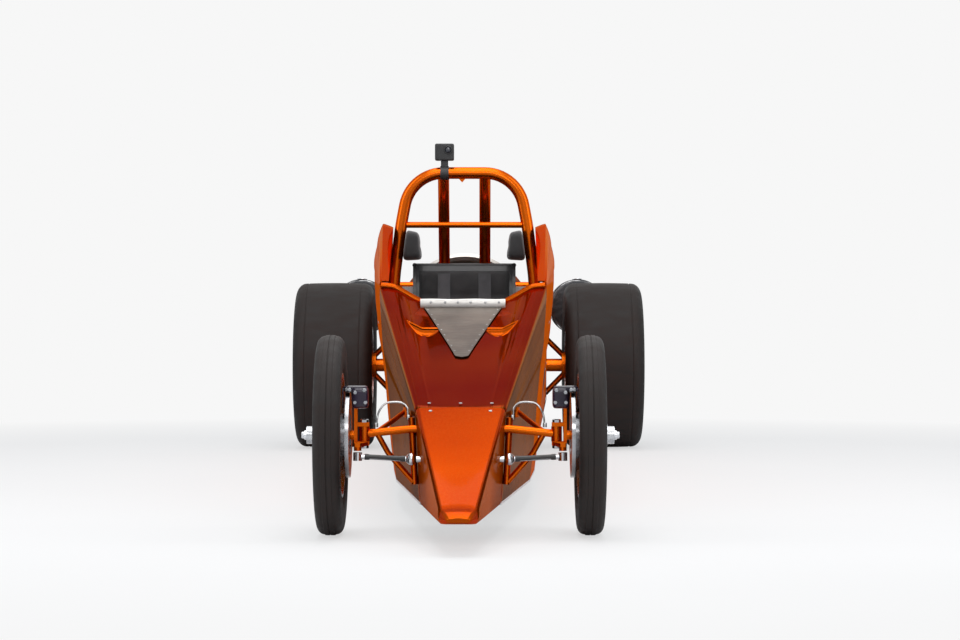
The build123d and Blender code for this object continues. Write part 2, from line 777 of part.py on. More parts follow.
with BuildPart() as brake_disc_right:
    add(make_disc(-1))
brake_disc_right.part.label = "brake_disc_right"
export_step(brake_disc_right.part, "parts/brake_disc_right.step")


# Front rims: narrow spun rims with a dished centre, five windows and a hub
def make_front_rim(side):
    """One front rim with its hub and end cap."""
    bead = front_seat_radius - seat_gap
    barrel = [
        (front_mid + sign * x, r)
        for sign, row in ((-1, ((37, bead), (37, 188), (18, 168))), (1, ((18, 168), (37, 188), (37, bead))),
                          (1, ((26, bead), (16, 174))), (-1, ((16, 174), (26, bead))))
        for x, r in row
    ]
    centre = (
        (front_mid + 8, 171), (front_mid + 14, 171), (front_mid + 18, 90), (front_mid + 12, 50),
        (front_mid + 12, 36), (front_mid + 6, 36), (front_mid + 6, 52), (front_mid + 12, 92),
    )
    hub = (
        (hat_x1 + seat_gap, stub_radius + run_gap), (hat_x1 + seat_gap, 60), (hat_x1 + 9, 60), (hat_x1 + 9, 36),
        (hat_x1 + 81, 36), (hat_x1 + 81, 28), (hat_x1 + 103, 28), (hat_x1 + 103, 10), (hat_x1 + 95, 10),
        (hat_x1 + 95, stub_radius + run_gap),
    )
    with BuildPart() as rim:
        for outline in (barrel, centre, hub):
            revolve_about_wheel([(side * x, r) for x, r in outline], 0, hub_z)
        with BuildSketch(Plane(origin=point(side * front_mid, 0, hub_z), z_dir=(side, 0, 0))):
            with PolarLocations(122, 5):
                SlotOverall(74, 44, rotation=90)
        extrude(amount=40, mode=Mode.SUBTRACT)
    return rim.part


with BuildPart() as front_rim_left:
    add(make_front_rim(1))
front_rim_left.part.label = "front_rim_left"
export_step(front_rim_left.part, "parts/front_rim_left.step")

with BuildPart() as front_rim_right:
    add(make_front_rim(-1))
front_rim_right.part.label = "front_rim_right"
export_step(front_rim_right.part, "parts/front_rim_right.step")


# Tyres: a section with rounded shoulders turned round the wheel axis, seated on the rim
def make_tyre(side, mid, width, radius, seat_radius, shoulder, z, s):
    """One tyre: flat tread, shoulders in two flats, straight walls and bead seats."""
    half = width / 2
    bead = half * 0.82
    right = (
        (half - shoulder, radius), (half - shoulder * 0.3, radius - shoulder * 0.3),
        (half, radius - shoulder), (half, seat_radius + 25), (bead, seat_radius),
    )
    outline = [(mid + x, r) for x, r in right] + [(mid - x, r) for x, r in reversed(right)]
    with BuildPart() as tyre:
        revolve_about_wheel([(side * x, r) for x, r in outline], s, z)
    return tyre.part


with BuildPart() as front_tyre_left:
    add(make_tyre(1, front_mid, front_tyre_width, front_tyre_radius, front_seat_radius, 24, hub_z, 0))
front_tyre_left.part.label = "front_tyre_left"
export_step(front_tyre_left.part, "parts/front_tyre_left.step")

with BuildPart() as front_tyre_right:
    add(make_tyre(-1, front_mid, front_tyre_width, front_tyre_radius, front_seat_radius, 24, hub_z, 0))
front_tyre_right.part.label = "front_tyre_right"
export_step(front_tyre_right.part, "parts/front_tyre_right.step")

# Rack tube: fixed tube through the nose that the rack bar slides in
with BuildPart() as rack_tube:
    add_drum(-82, 82, 24, rack_s, rack_z)
    add_drum(-90, 90, rack_bar_radius + run_gap, rack_s, rack_z, mode=Mode.SUBTRACT)
rack_tube.part.label = "rack_tube"
export_step(rack_tube.part, "parts/rack_tube.step")

# Steering links: sliding rack bar, its end joints, and the tie rods out to the eyes under the arms
ball_x = 153
ball_half = 17
eye_z = 255
eye_radius = 14
with BuildPart() as steering_links:
    add_drum(-ball_x, ball_x, rack_bar_radius, rack_s, rack_z)
    for side in (-1, 1):
        joint = ((-17, 0), (-17, 8), (-12, 14), (-5, 17), (5, 17), (12, 14), (17, 8), (17, 0))
        revolve_about_wheel([(side * (ball_x + x), r) for x, r in joint], rack_s, rack_z)
        add_tube([point(side * (ball_x + 10), rack_s, rack_z), point(side * steer_arm_x, rack_s, eye_z)], 8)
        with BuildSketch(Plane(origin=point(side * steer_arm_x, rack_s, eye_z - 13))):
            Circle(eye_radius)
        extrude(amount=26)
steering_links.part.label = "steering_links"
export_step(steering_links.part, "parts/steering_links.step")

# Rear axle: dead tube under the tail pipe with struts, hub plates and stub shafts
hub_plate_x0 = 476
hub_plate_x1 = 495
with BuildPart() as rear_axle:
    add_drum(-hub_plate_x0, hub_plate_x0, axle_tube_radius, wheelbase, rear_hub_z)
    for side in (-1, 1):
        add_drum(side * (hub_plate_x0 - 2), side * hub_plate_x1, 64, wheelbase, rear_hub_z)
        add_drum(side * hub_plate_x1, side * (rear_track / 2 + 10), rear_stub_radius, wheelbase, rear_hub_z)
        add_tube([point(side * 388, wheelbase, 560), point(side * 482, wheelbase, 468)], 14)
        add_tube([point(side * 388, wheelbase, 275), point(side * 482, wheelbase, 372)], 14)
        add_block(side * (385 + seat_gap), side * 393, wheelbase - 40, wheelbase + 40, 530, 600)
        add_block(side * (385 + seat_gap), side * 393, wheelbase - 40, wheelbase + 40, 255, 320)
        with Locations(point(side * 375, wheelbase, 565), point(side * 375, wheelbase, 270)):
            Box(20, 120, 120, mode=Mode.SUBTRACT)
rear_axle.part.label = "rear_axle"
export_step(rear_axle.part, "parts/rear_axle.step")

# Rear rims: wide spun rims with a deep outer dish
rear_mid = rear_track / 2


def make_rear_rim(side):
    """One rear rim with its hub, dished centre and end cap."""
    bead = rear_seat_radius - seat_gap
    barrel = [
        (rear_mid + sign * x, r)
        for sign, row in ((-1, ((186, bead), (186, 190), (124, 176))), (1, ((124, 176), (186, 190), (186, bead))),
                          (1, ((142, bead), (130, 184))), (-1, ((130, 184), (142, bead))))
        for x, r in row
    ]
    centre = (
        (rear_mid - 84, 180), (rear_mid - 70, 180), (rear_mid - 60, 120), (rear_mid - 44, 80),
        (rear_mid - 44, 48), (rear_mid - 52, 48), (rear_mid - 52, 78), (rear_mid - 68, 118),
    )
    hub = (
        (500, rear_stub_radius + run_gap), (500, 58), (530, 52), (rear_mid + 4, 50), (rear_mid + 4, 40),
        (rear_mid + 24, 40), (rear_mid + 24, 8), (rear_mid + 16, 8), (rear_mid + 16, rear_stub_radius + run_gap),
    )
    with BuildPart() as rim:
        for outline in (barrel, centre, hub):
            revolve_about_wheel([(side * x, r) for x, r in outline], wheelbase, rear_hub_z)
    return rim.part


with BuildPart() as rear_rim_left:
    add(make_rear_rim(1))
rear_rim_left.part.label = "rear_rim_left"
export_step(rear_rim_left.part, "parts/rear_rim_left.step")

with BuildPart() as rear_rim_right:
    add(make_rear_rim(-1))
rear_rim_right.part.label = "rear_rim_right"
export_step(rear_rim_right.part, "parts/rear_rim_right.step")

with BuildPart() as rear_tyre_left:
    add(make_tyre(1, rear_mid, rear_tyre_width, rear_tyre_radius, rear_seat_radius, 62, rear_hub_z, wheelbase))
rear_tyre_left.part.label = "rear_tyre_left"
export_step(rear_tyre_left.part, "parts/rear_tyre_left.step")

with BuildPart() as rear_tyre_right:
    add(make_tyre(-1, rear_mid, rear_tyre_width, rear_tyre_radius, rear_seat_radius, 62, rear_hub_z, wheelbase))
rear_tyre_right.part.label = "rear_tyre_right"
export_step(rear_tyre_right.part, "parts/rear_tyre_right.step")

# Parachute brackets: plates on outrigger tubes at the tail, with tether eyes
pack_x = 575
pack_z = 715
pack_radius = 150
pack_s0 = wheelbase + 450
pack_s1 = wheelbase + tail_overhang
bracket_x = pack_x - pack_radius
tube_x = bracket_x - 15
tube_end_s = pack_s1 - 60
rail_end_x = rail_rows[-1][2]
rail_end_z = rail_rows[-1][3]
tether_z = 540
with BuildPart() as parachute_brackets:
    for side in (-1, 1):
        add_block(side * (bracket_x - 8), side * (bracket_x - seat_gap), frame_end_s + 140, pack_s1 - 20,
                  pack_z - 115, pack_z + 115)
        for start_x, start_z, end_z in ((rail_end_x, rail_end_z, rail_end_z), (rail_end_x - 5, 560, 640)):
            add_tube(
                [
                    point(side * start_x, frame_end_s + seat_gap, start_z),
                    point(side * start_x, frame_end_s + 30, start_z),
                    point(side * tube_x, frame_end_s + 260, end_z),
                    point(side * tube_x, tube_end_s, end_z),
                ],
                13,
            )
        add_block(side * (tube_x - 13), side * (tube_x - 1), pack_s1 - 150, tube_end_s, 510, 650)
        with BuildSketch(Plane(origin=point(side * (tube_x - 20), pack_s1 - 105, tether_z), z_dir=(side, 0, 0))):
            Circle(10)
        extrude(amount=30, mode=Mode.SUBTRACT)
parachute_brackets.part.label = "parachute_brackets"
export_step(parachute_brackets.part, "parts/parachute_brackets.step")

# Parachute packs: two round packs behind the rear tyres, their ends drawn in
pack_rim = 40
pack_rows = (
    # s, radius
    (pack_s0, pack_radius - pack_rim),
    (pack_s0 + 0.3 * pack_rim, pack_radius - 0.3 * pack_rim),
    (pack_s0 + pack_rim, pack_radius),
    (pack_s1 - pack_rim, pack_radius),
    (pack_s1 - 0.3 * pack_rim, pack_radius - 0.3 * pack_rim),
    (pack_s1, pack_radius - pack_rim),
)
with BuildPart() as parachute_packs:
    for side in (-1, 1):
        centre = Plane(origin=point(side * pack_x, 0, pack_z), x_dir=(0, 1, 0), z_dir=(1, 0, 0))
        with BuildSketch(centre, mode=Mode.PRIVATE) as half:
            with BuildLine():
                Polyline((pack_s0, 0), *pack_rows, (pack_s1, 0), close=True)
            make_face()
        revolve(half.sketch.face(), axis=Axis(centre.origin, (0, 1, 0)))
parachute_packs.part.label = "parachute_packs"
export_step(parachute_packs.part, "parts/parachute_packs.step")

# Action camera: small box on a foot clamped to the hoop
camera_x = -75
with BuildPart() as action_camera:
    add_block(camera_x - 37, camera_x + 37, hoop_s - 26, hoop_s + 22, 1278, 1343)
    add_block(camera_x - 16, camera_x + 16, hoop_s - 14, hoop_s + 14, 1245, 1282)
    add_tube([point(-120, hoop_s, hoop_top_z), point(120, hoop_s, hoop_top_z)], hoop_radius + seat_gap,
             mode=Mode.SUBTRACT)
action_camera.part.label = "action_camera"
export_step(action_camera.part, "parts/action_camera.step")
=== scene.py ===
# %% [markdown]
# # A jet dragster, dressed for the camera
# The measured model of the car is a frame of plain solids that stand exactly where the real pieces do.
# This lesson gives each solid its paint, metal, rubber or cloth, and adds what a solid leaves out: rounded
# skins, rivets, tread ribs, stitching, pipes and heat stains. Lengths are in metres, +Z is up and the nose
# points along -Y.

# %% Load the frame
import bmesh
import bpy
import math
import numpy as np
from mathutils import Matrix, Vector


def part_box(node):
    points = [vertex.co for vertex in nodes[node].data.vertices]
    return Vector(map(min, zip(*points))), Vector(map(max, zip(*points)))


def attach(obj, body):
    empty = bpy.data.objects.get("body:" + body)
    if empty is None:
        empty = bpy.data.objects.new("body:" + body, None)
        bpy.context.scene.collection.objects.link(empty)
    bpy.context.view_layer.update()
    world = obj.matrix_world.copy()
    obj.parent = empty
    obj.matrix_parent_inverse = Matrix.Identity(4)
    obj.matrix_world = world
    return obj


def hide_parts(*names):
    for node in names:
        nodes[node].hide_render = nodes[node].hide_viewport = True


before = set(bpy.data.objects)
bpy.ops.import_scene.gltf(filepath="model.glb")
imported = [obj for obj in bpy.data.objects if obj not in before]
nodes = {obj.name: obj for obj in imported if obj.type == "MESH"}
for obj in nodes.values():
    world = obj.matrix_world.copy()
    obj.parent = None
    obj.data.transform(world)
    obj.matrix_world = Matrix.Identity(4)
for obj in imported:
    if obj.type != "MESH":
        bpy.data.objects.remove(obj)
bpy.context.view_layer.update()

# %% [markdown]
# ## Stations along the car
# Everything on a long car is easiest to place by its station, the distance behind the front axle. The
# front axle's own place comes from the front tyre's box, so no length is written twice.

# %% Stations and wheel places
front_lo, front_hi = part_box("front_tyre_left")
rear_lo, rear_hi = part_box("rear_tyre_left")
front_mid_x, front_y, front_hub_z = ((low + high) / 2 for low, high in zip(front_lo, front_hi))
rear_mid_x, rear_y, rear_hub_z = ((low + high) / 2 for low, high in zip(rear_lo, rear_hi))
front_hub = (0.0, front_y, front_hub_z)
rear_hub = (0.0, rear_y, rear_hub_z)
engine_z = 0.660
SIDES = {"left": 1.0, "right": -1.0}
print("front axle y", round(front_y, 3), "wheelbase", round(rear_y - front_y, 3))

# %% [markdown]
# ## The camera
# The picture was taken with a long lens from low down, almost straight ahead. The size of the front and
# the rear tyres in the picture gives the distance, and the height where level lines meet gives the eye
# height, so the camera is placed by measurement and not by eye.

# %% Camera from the picture's perspective
IMAGE_WIDTH, IMAGE_HEIGHT = 960, 640
FOCAL_PIXELS = 2624.0
EYE_HEIGHT = 0.738
EYE_AHEAD = 8.33
EYE_ASIDE = 0.0711
HORIZON_ROW = 302.6
VANISH_COLUMN = 482.9

camera_data = bpy.data.cameras.new("camera")
camera_data.sensor_fit = "HORIZONTAL"
camera_data.sensor_width = 36.0
camera_data.lens = FOCAL_PIXELS / IMAGE_WIDTH * camera_data.sensor_width
camera = bpy.data.objects.new("camera", camera_data)
bpy.context.scene.collection.objects.link(camera)
camera.location = (EYE_ASIDE, front_y - EYE_AHEAD, EYE_HEIGHT)
pitch = math.atan((IMAGE_HEIGHT / 2 - HORIZON_ROW) / FOCAL_PIXELS)
yaw = math.atan((VANISH_COLUMN - IMAGE_WIDTH / 2) / FOCAL_PIXELS)
camera.rotation_euler = (math.pi / 2 - pitch, 0.0, yaw)
bpy.context.scene.camera = camera
bpy.context.scene.view_settings.view_transform = "Standard"
print("lens", round(camera_data.lens, 1), "mm")

# %% [markdown]
# ## Studio light
# Candy paint lives on reflections, so the lamps are large soft panels: one overhead and one on each side,
# long enough to draw unbroken streaks down the flanks. The world is pale grey for lighting, and plain
# white where the camera or a mirror-like surface looks straight at it.

# %% Lamps and world
BACKDROP = (0.93, 0.93, 0.93, 1)


def soft_panel(name, place, aim, width, height, watts):
    """One rectangular lamp at a place, turned to face a point."""
    data = bpy.data.lights.new(name, "AREA")
    data.shape = "RECTANGLE"
    data.size, data.size_y = width, height
    data.energy = watts
    lamp = bpy.data.objects.new(name, data)
    bpy.context.scene.collection.objects.link(lamp)
    lamp.location = place
    lamp.rotation_euler = (Vector(aim) - Vector(place)).to_track_quat("-Z", "Y").to_euler()


def feed(tree, source, socket):
    """Wires another node's output to an input, or writes a plain value there."""
    if isinstance(source, bpy.types.NodeSocket):
        tree.links.new(source, socket)
    elif source is not None:
        socket.default_value = source


def node(tree, kind, *sources, out=0, **settings):
    """New shader node whose inputs take the sources in turn; one of its outputs comes back."""
    made = tree.nodes.new("ShaderNode" + kind)
    for key, value in settings.items():
        setattr(made, key, value)
    for source, socket in zip(sources, made.inputs):
        feed(tree, source, socket)
    return made.outputs[out]


soft_panel("lamp_top", (0.0, -1.5, 5.2), (0.0, -0.5, 0.5), 3.0, 8.0, 190)
soft_panel("lamp_left", (5.0, -3.0, 3.2), (0.0, -1.5, 0.6), 2.2, 7.0, 105)
soft_panel("lamp_right", (-5.0, -3.0, 3.2), (0.0, -1.5, 0.6), 2.2, 7.0, 105)
soft_panel("lamp_front", (0.6, -11.0, 4.4), (0.0, -2.4, 0.5), 4.0, 2.0, 110)

world = bpy.data.worlds.new("studio")
bpy.context.scene.world = world
world.use_nodes = True
sky = world.node_tree
sky.nodes.clear()
rays = sky.nodes.new("ShaderNodeLightPath").outputs
seen = rays["Is Camera Ray"]
for other in ("Is Glossy Ray", "Is Transmission Ray"):
    seen = node(sky, "Math", seen, rays[other], operation="MAXIMUM")
sky_mix = node(sky, "MixShader", seen, node(sky, "Background", (0.80, 0.84, 0.90, 1), 0.55),
               node(sky, "Background", BACKDROP, 1.0))
sky.links.new(sky_mix, sky.nodes.new("ShaderNodeOutputWorld").inputs["Surface"])
print("lamps and world ready")

# %% [markdown]
# ## Meshes from formulas
# Three helpers make nearly every new piece. The first turns a grid of points into a surface, the second
# turns a profile about an axis, and the third carries a circle along a path. Each works on whole arrays.


def finish_piece(piece, material, body="chassis", replaced=(), sharp=35.0):
    """Gives a new piece its material, smooth shading with crisp edges, its body and what it stands for."""
    piece.data.materials.clear()
    piece.data.materials.append(material)
    piece.data.shade_smooth()
    piece.data.set_sharp_from_angle(angle=math.radians(sharp))
    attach(piece, body)
    if replaced:
        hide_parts(*replaced)
    return piece


def mesh_piece(name, points, faces):
    """New object at the origin whose mesh has these points and faces."""
    mesh = bpy.data.meshes.new(name)
    mesh.from_pydata(np.asarray(points, float).reshape(-1, 3).tolist(), [], np.asarray(faces, int).tolist())
    mesh.update()
    piece = bpy.data.objects.new(name, mesh)
    bpy.context.scene.collection.objects.link(piece)
    return piece


def grid_faces(rows, columns, wrap_rows=False, wrap_columns=False, flip=False, start=0):
    """Quads between neighbours of a rows-by-columns grid of points, wrapping round where asked."""
    r = np.arange(rows if wrap_rows else rows - 1)
    c = np.arange(columns if wrap_columns else columns - 1)
    r, c = np.meshgrid(r, c, indexing="ij")
    r1, c1 = (r + 1) % rows, (c + 1) % columns
    quads = np.stack([r * columns + c, r * columns + c1, r1 * columns + c1, r1 * columns + c], axis=-1)
    quads = quads.reshape(-1, 4) + start
    return quads[:, ::-1] if flip else quads


def grid_piece(name, grid, **wraps):
    """Surface through a grid of points."""
    return mesh_piece(name, grid, grid_faces(*grid.shape[:2], **wraps))


def outward(piece, merge=0.0):
    """Merges doubled points and turns every face outwards."""
    work = bmesh.new()
    work.from_mesh(piece.data)
    if merge:
        bmesh.ops.remove_doubles(work, verts=work.verts, dist=merge)
    bmesh.ops.recalc_face_normals(work, faces=work.faces)
    work.to_mesh(piece.data)
    work.free()
    return piece


def shut(name, rings, merge=1e-6):
    """Closed piece from rings of points, its ends shut by a point in the middle of each end ring."""
    ends = rings[[0, -1]].mean(axis=1, keepdims=True).repeat(rings.shape[1], axis=1)
    return outward(grid_piece(name, np.concatenate([ends[:1], rings, ends[1:]]), wrap_columns=True), merge)


def turned(name, profile, centre, axis, segments=96):
    """Profile of (along, radius) turned about an axis: centre + along * a + radius * (u cos t + v sin t)."""
    profile = np.asarray(profile, float)
    a = np.asarray(axis, float)
    u = np.array([0.0, 0.0, 1.0])
    v = np.cross(a, u)
    t = np.linspace(0, 2 * np.pi, segments, endpoint=False)
    ring = np.cos(t)[:, None] * u + np.sin(t)[:, None] * v
    points = np.asarray(centre) + profile[None, :, 0, None] * a + profile[None, :, 1, None] * ring[:, None, :]
    return outward(grid_piece(name, points, wrap_rows=True, wrap_columns=True), merge=1e-5)


def smooth_path(points, count=48):
    """Catmull-Rom curve through points: each span is a cubic of its four nearest points."""
    p = np.asarray(points, float)
    p = np.concatenate([2 * p[:1] - p[1:2], p, 2 * p[-1:] - p[-2:-1]])
    where = np.linspace(0, len(p) - 3 - 1e-6, count)
    i, t = where.astype(int), (where % 1)[:, None]
    a, b, c, d = p[i], p[i + 1], p[i + 2], p[i + 3]
    return 0.5 * (2 * b + (c - a) * t + (2 * a - 5 * b + 4 * c - d) * t ** 2 + (3 * b - a - 3 * c + d) * t ** 3)


def unit(vectors):
    """Vectors scaled to length one along the last axis."""
    return vectors / np.linalg.norm(vectors, axis=-1, keepdims=True)


def tube_points(path, radius, sides=12, up=(0.0, 0.0, 1.0)):
    """Rings about a path: point = centre + radius * (n cos t + b sin t), n and b square to the path."""
    path = np.asarray(path, float)
    way = unit(np.gradient(path, axis=0))
    n = unit(np.cross(way, np.asarray(up, float)))
    b = np.cross(way, n)
    t = np.linspace(0, 2 * np.pi, sides, endpoint=False)
    ring = np.cos(t)[None, :, None] * n[:, None] + np.sin(t)[None, :, None] * b[:, None]
    return path[:, None] + np.broadcast_to(np.asarray(radius, float), (len(path),))[:, None, None] * ring


def tube(name, path, radius, sides=12, up=(0.0, 0.0, 1.0)):
    """Round closed tube along a path."""
    return shut(name, tube_points(path, radius, sides, up))


print("surface helpers ready")

# %% [markdown]
# ## Bolts, rivets and round-cornered solids
# A small turned form, such as a bolt head, is repeated at many places as one mesh. Castings and moulded
# cases have large soft corners, and a superquadric makes those in one formula: a sphere's three coordinates
# are raised to a small power, so the ball swells into a box.

# %% Studs and superquadrics
BUTTON = ((0, 0), (0, 1), (0.55, 1), (0.85, 0.86), (1, 0.6), (0.93, 0.4), (0.93, 0))
HEXAGON = ((0, 0), (0, 1), (0.8, 1), (1, 0.86), (1, 0))
FASTENER = ((0, 0), (0, 1), (0.5, 0.98), (0.55, 0.86), (0.10, 0.70), (0.10, 0.58), (1, 0.54), (1, 0))


def stud_form(profile, radius, height, sides):
    """Small turned form: rings at the profile's fractions of the height and the radius, shut at both ends."""
    t = np.arange(sides) * 2 * np.pi / sides
    ring = np.stack([np.cos(t), np.sin(t)], axis=-1) * radius
    points = np.concatenate([np.c_[ring * k, np.full(sides, h * height)] for h, k in profile])
    return points, grid_faces(len(profile), sides, wrap_columns=True)


def hexagon(across, height):
    """Bolt head by its width across flats."""
    return stud_form(HEXAGON, across / math.sqrt(3), height, 6)


def studs(name, form, places, ways, material, body="chassis", sharp=40):
    """One mesh of a small form repeated at places, its own z turned along each way."""
    template, faces = form
    places = np.asarray(places, float)
    w = unit(np.broadcast_to(np.asarray(ways, float), places.shape))
    u = unit(np.cross(np.where(np.abs(w[:, 2:3]) > 0.9, [[0.0, 1.0, 0.0]], [[0.0, 0.0, 1.0]]), w))
    points = np.einsum("nij,kj->nki", np.stack([u, np.cross(w, u), w], axis=-1), template) + places[:, None]
    faces = faces[None] + np.arange(len(points))[:, None, None] * len(template)
    piece = outward(mesh_piece(name, points, faces.reshape(-1, 4)), 1e-6)
    return finish_piece(piece, material, body, sharp=sharp)


def swollen(power, rows=33, columns=48):
    """Unit superquadric: each coordinate of a sphere keeps its sign and is raised to a power under 1."""
    phi = np.linspace(-np.pi / 2, np.pi / 2, rows)[:, None]
    theta = np.linspace(0, 2 * np.pi, columns, endpoint=False)[None]
    keep = lambda w: np.sign(w) * np.abs(w) ** power
    rim = keep(np.where(np.abs(phi) > 1.57, 0.0, np.cos(phi)))
    z = keep(np.sin(phi)) * np.ones_like(theta)
    return np.stack([rim * keep(np.cos(theta)), rim * keep(np.sin(theta)), z], axis=-1)


def soft_box(name, low, high, power=0.22, rows=33, columns=48):
    """Box between two corners with soft edges, from a superquadric."""
    low, high = np.minimum(low, high), np.maximum(low, high)
    points = (low + high) / 2 + swollen(power, rows, columns) * (high - low) / 2
    return outward(grid_piece(name, points, wrap_columns=True), 1e-6)


def joined(name, pieces):
    """Makes one piece of several, keeping their faces and dropping the parts."""
    meshes = [piece.data for piece in pieces]
    counts = np.cumsum([0] + [len(mesh.vertices) for mesh in meshes])
    points = np.concatenate([np.array([v.co for v in mesh.vertices]) for mesh in meshes])
    faces = [[i + start for i in face.vertices] for mesh, start in zip(meshes, counts)
             for face in mesh.polygons]
    mesh = bpy.data.meshes.new(name)
    mesh.from_pydata(points.tolist(), [], faces)
    for piece in pieces:
        bpy.data.objects.remove(piece)
    whole = bpy.data.objects.new(name, mesh)
    bpy.context.scene.collection.objects.link(whole)
    return whole


def apply_all(piece):
    """Turns the modifiers' result into the piece's own mesh."""
    depsgraph = bpy.context.evaluated_depsgraph_get()
    mesh = bpy.data.meshes.new_from_object(piece.evaluated_get(depsgraph))
    piece.modifiers.clear()
    piece.data = mesh
    return piece


def walled(piece, thickness, offset=-1.0):
    """Gives an open skin a wall on one side of its face."""
    wall = piece.modifiers.new("wall", "SOLIDIFY")
    wall.thickness, wall.offset = thickness, offset
    return apply_all(piece)


def bored(piece, *cutters):
    """Cuts closed cutters out of a piece with a boolean and drops them."""
    for cutter in cutters:
        cut = piece.modifiers.new("bore", "BOOLEAN")
        cut.operation, cut.solver, cut.object = "DIFFERENCE", "EXACT", cutter
    apply_all(piece)
    for cutter in cutters:
        bpy.data.objects.remove(cutter)
    return piece


print("stud and superquadric helpers ready")

# %% [markdown]
# ## Candy paint
# Candy paint is a clear tinted coat over bright metallic flake, so it is deep where it turns away from the
# light and glowing where it faces it. A metallic base under a thin clear coat does this. The flake is a very
# fine cell pattern in the gloss. Seen edge on the metal fades out, so the paint keeps its colour there.

# %% Material graphs and candy paint
class Graph:
    """A new material while it is built: its tree, its shader and the object's own coordinates in metres."""

    def __init__(self, name):
        self.material = bpy.data.materials.new(name)
        self.material.use_nodes = True
        self.tree = self.material.node_tree
        self.shader = self.tree.nodes["Principled BSDF"]
        self.place = self.tree.nodes.new("ShaderNodeTexCoord").outputs["Object"]

    def node(self, kind, *sources, **settings):
        """New node in this material."""
        return node(self.tree, kind, *sources, **settings)

    def math(self, operation, *sources):
        """Arithmetic on one, two or three values."""
        return self.node("Math", *sources, operation=operation)

    def noise(self, scale, detail=3.0, roughness=0.55, stretch=(1.0, 1.0, 1.0)):
        """Cloudy value from 0 to 1, stretched along an axis by a smaller factor there."""
        where = self.node("Mapping", self.place, None, None, stretch)
        return self.node("TexNoise", where, None, scale, detail, roughness)

    def from_axle(self, centre):
        """Distance from the level line across the car through a centre: (y^2 + z^2)^0.5 measured from it."""
        moved = self.node("Mapping", self.place, tuple(-c for c in centre))
        flat = self.node("VectorMath", moved, (0, 1, 1), operation="MULTIPLY")
        return self.node("VectorMath", flat, out="Value", operation="LENGTH")

    def waves(self, value, pitch):
        """Sine of a distance, one turn in each pitch."""
        return self.math("SINE", self.math("MULTIPLY", value, 2 * math.pi / pitch))

    def ramp(self, value, *stops):
        """Colour that passes through its stops, each a place and a tone, as the value rises."""
        made = self.tree.nodes.new("ShaderNodeValToRGB")
        elements = made.color_ramp.elements
        for element, (place, tone) in zip(elements, (stops[0], stops[-1])):
            element.position, element.color = place, (*tone, 1)
        for place, tone in stops[1:-1]:
            elements.new(place).color = (*tone, 1)
        feed(self.tree, value, made.inputs["Fac"])
        return made.outputs["Color"]

    def tones(self, value, low, high, start=0.3, end=0.7):
        """Colour that goes from one tone to the other as the value rises."""
        return self.ramp(value, (start, low), (end, high))

    def spread(self, value, low, high, start=0.0, end=1.0):
        """Number that goes from low to high as the value goes from start to end."""
        return self.node("MapRange", value, start, end, low, high)

    def relief(self, value, strength, distance):
        """Height pattern that tilts the surface's normal, its depth in metres."""
        bump = self.tree.nodes.new("ShaderNodeBump")
        for key, source in (("Strength", strength), ("Distance", distance), ("Height", value)):
            feed(self.tree, source, bump.inputs[key])
        feed(self.tree, bump.outputs["Normal"], self.shader.inputs["Normal"])

    def finish(self, inputs):
        """Wires or writes the shader's inputs by name and gives the material."""
        for key, source in inputs.items():
            feed(self.tree, source, self.shader.inputs[key])
        return self.material


def candy_paint(name, deep, bright, rough=(0.10, 0.20)):
    """Tinted metallic paint: cloudy depth of colour, fine flake in the gloss and a slight orange peel."""
    graph = Graph(name)
    edge_on = graph.node("LayerWeight", out="Facing")
    flake = graph.node("TexVoronoi", graph.place, None, 700.0)
    graph.relief(graph.noise(45.0, 1.0), 0.04, 0.0008)
    return graph.finish({
        "Base Color": graph.tones(graph.noise(2.2, 2.0), deep, bright, 0.25, 0.75),
        "Metallic": graph.spread(edge_on, 0.96, 0.0, 0.76, 0.95),
        "Roughness": graph.spread(flake, *rough, 0.0, 0.8),
        "Specular IOR Level": 0.0, "Specular Tint": (1.0, 0.40, 0.09, 1),
        "Coat Weight": 0.06, "Coat Roughness": 0.03, "Coat IOR": 1.38})


candy_orange = candy_paint("candy_orange", (0.42, 0.064, 0.002), (0.58, 0.098, 0.003))
# painted shade: the cowl's copy of the body's orange paint is about three times darker, a dark reflection painted
# into its colour
cowl_candy_painted_shade = candy_paint("cowl_candy_painted_shade", (0.085, 0.0185, 0.0006), (0.165, 0.0400, 0.0012))
# painted shade: the nose, vent ducts and cockpit lips get a darker copy of the body's orange paint
nose_orange_painted_shade = candy_paint("nose_orange_painted_shade", (0.29, 0.042, 0.0010), (0.39, 0.064, 0.0018), rough=(0.16, 0.28))
# painted highlight: the frame tubes, roll hoop and small orange parts get a lighter copy of the body's orange paint
frame_orange_painted_highlight = candy_paint("frame_orange_painted_highlight", (0.52, 0.084, 0.003), (0.66, 0.118, 0.004), rough=(0.16, 0.30))
print("paints", candy_orange.name, frame_orange_painted_highlight.name)

# %% [markdown]
# ## Metals
# Each metal on the car has its own making marks. Sheet aluminium carries long rolling lines, turned parts
# carry rings about their axis, and brake discs are ground in circles. A stretched noise gives lines, and a
# distance from an axle gives rings.

# %% Metals
def plain_metal(name, dark, light, rough, stretch, grain, depth):
    """Bare metal with a cloudy tone and grain in one direction."""
    graph = Graph(name)
    lines = graph.noise(grain, 6.0, 0.7, stretch)
    graph.relief(lines, 0.25, depth)
    return graph.finish({"Base Color": graph.tones(graph.noise(7.0, 4.0), dark, light), "Metallic": 1.0,
                         "Roughness": graph.spread(lines, *rough, 0.3, 0.7)})


def ringed_metal(name, dark, light, centre, pitch, rough):
    """Turned metal: fine rings about its axle over a cloudy tone."""
    graph = Graph(name)
    cloud = graph.noise(24.0, 4.0)
    graph.relief(graph.waves(graph.from_axle(centre), pitch), 0.35, 0.00004)
    return graph.finish({"Base Color": graph.tones(cloud, dark, light), "Metallic": 1.0,
                         "Roughness": graph.spread(cloud, *rough, 0.3, 0.7)})


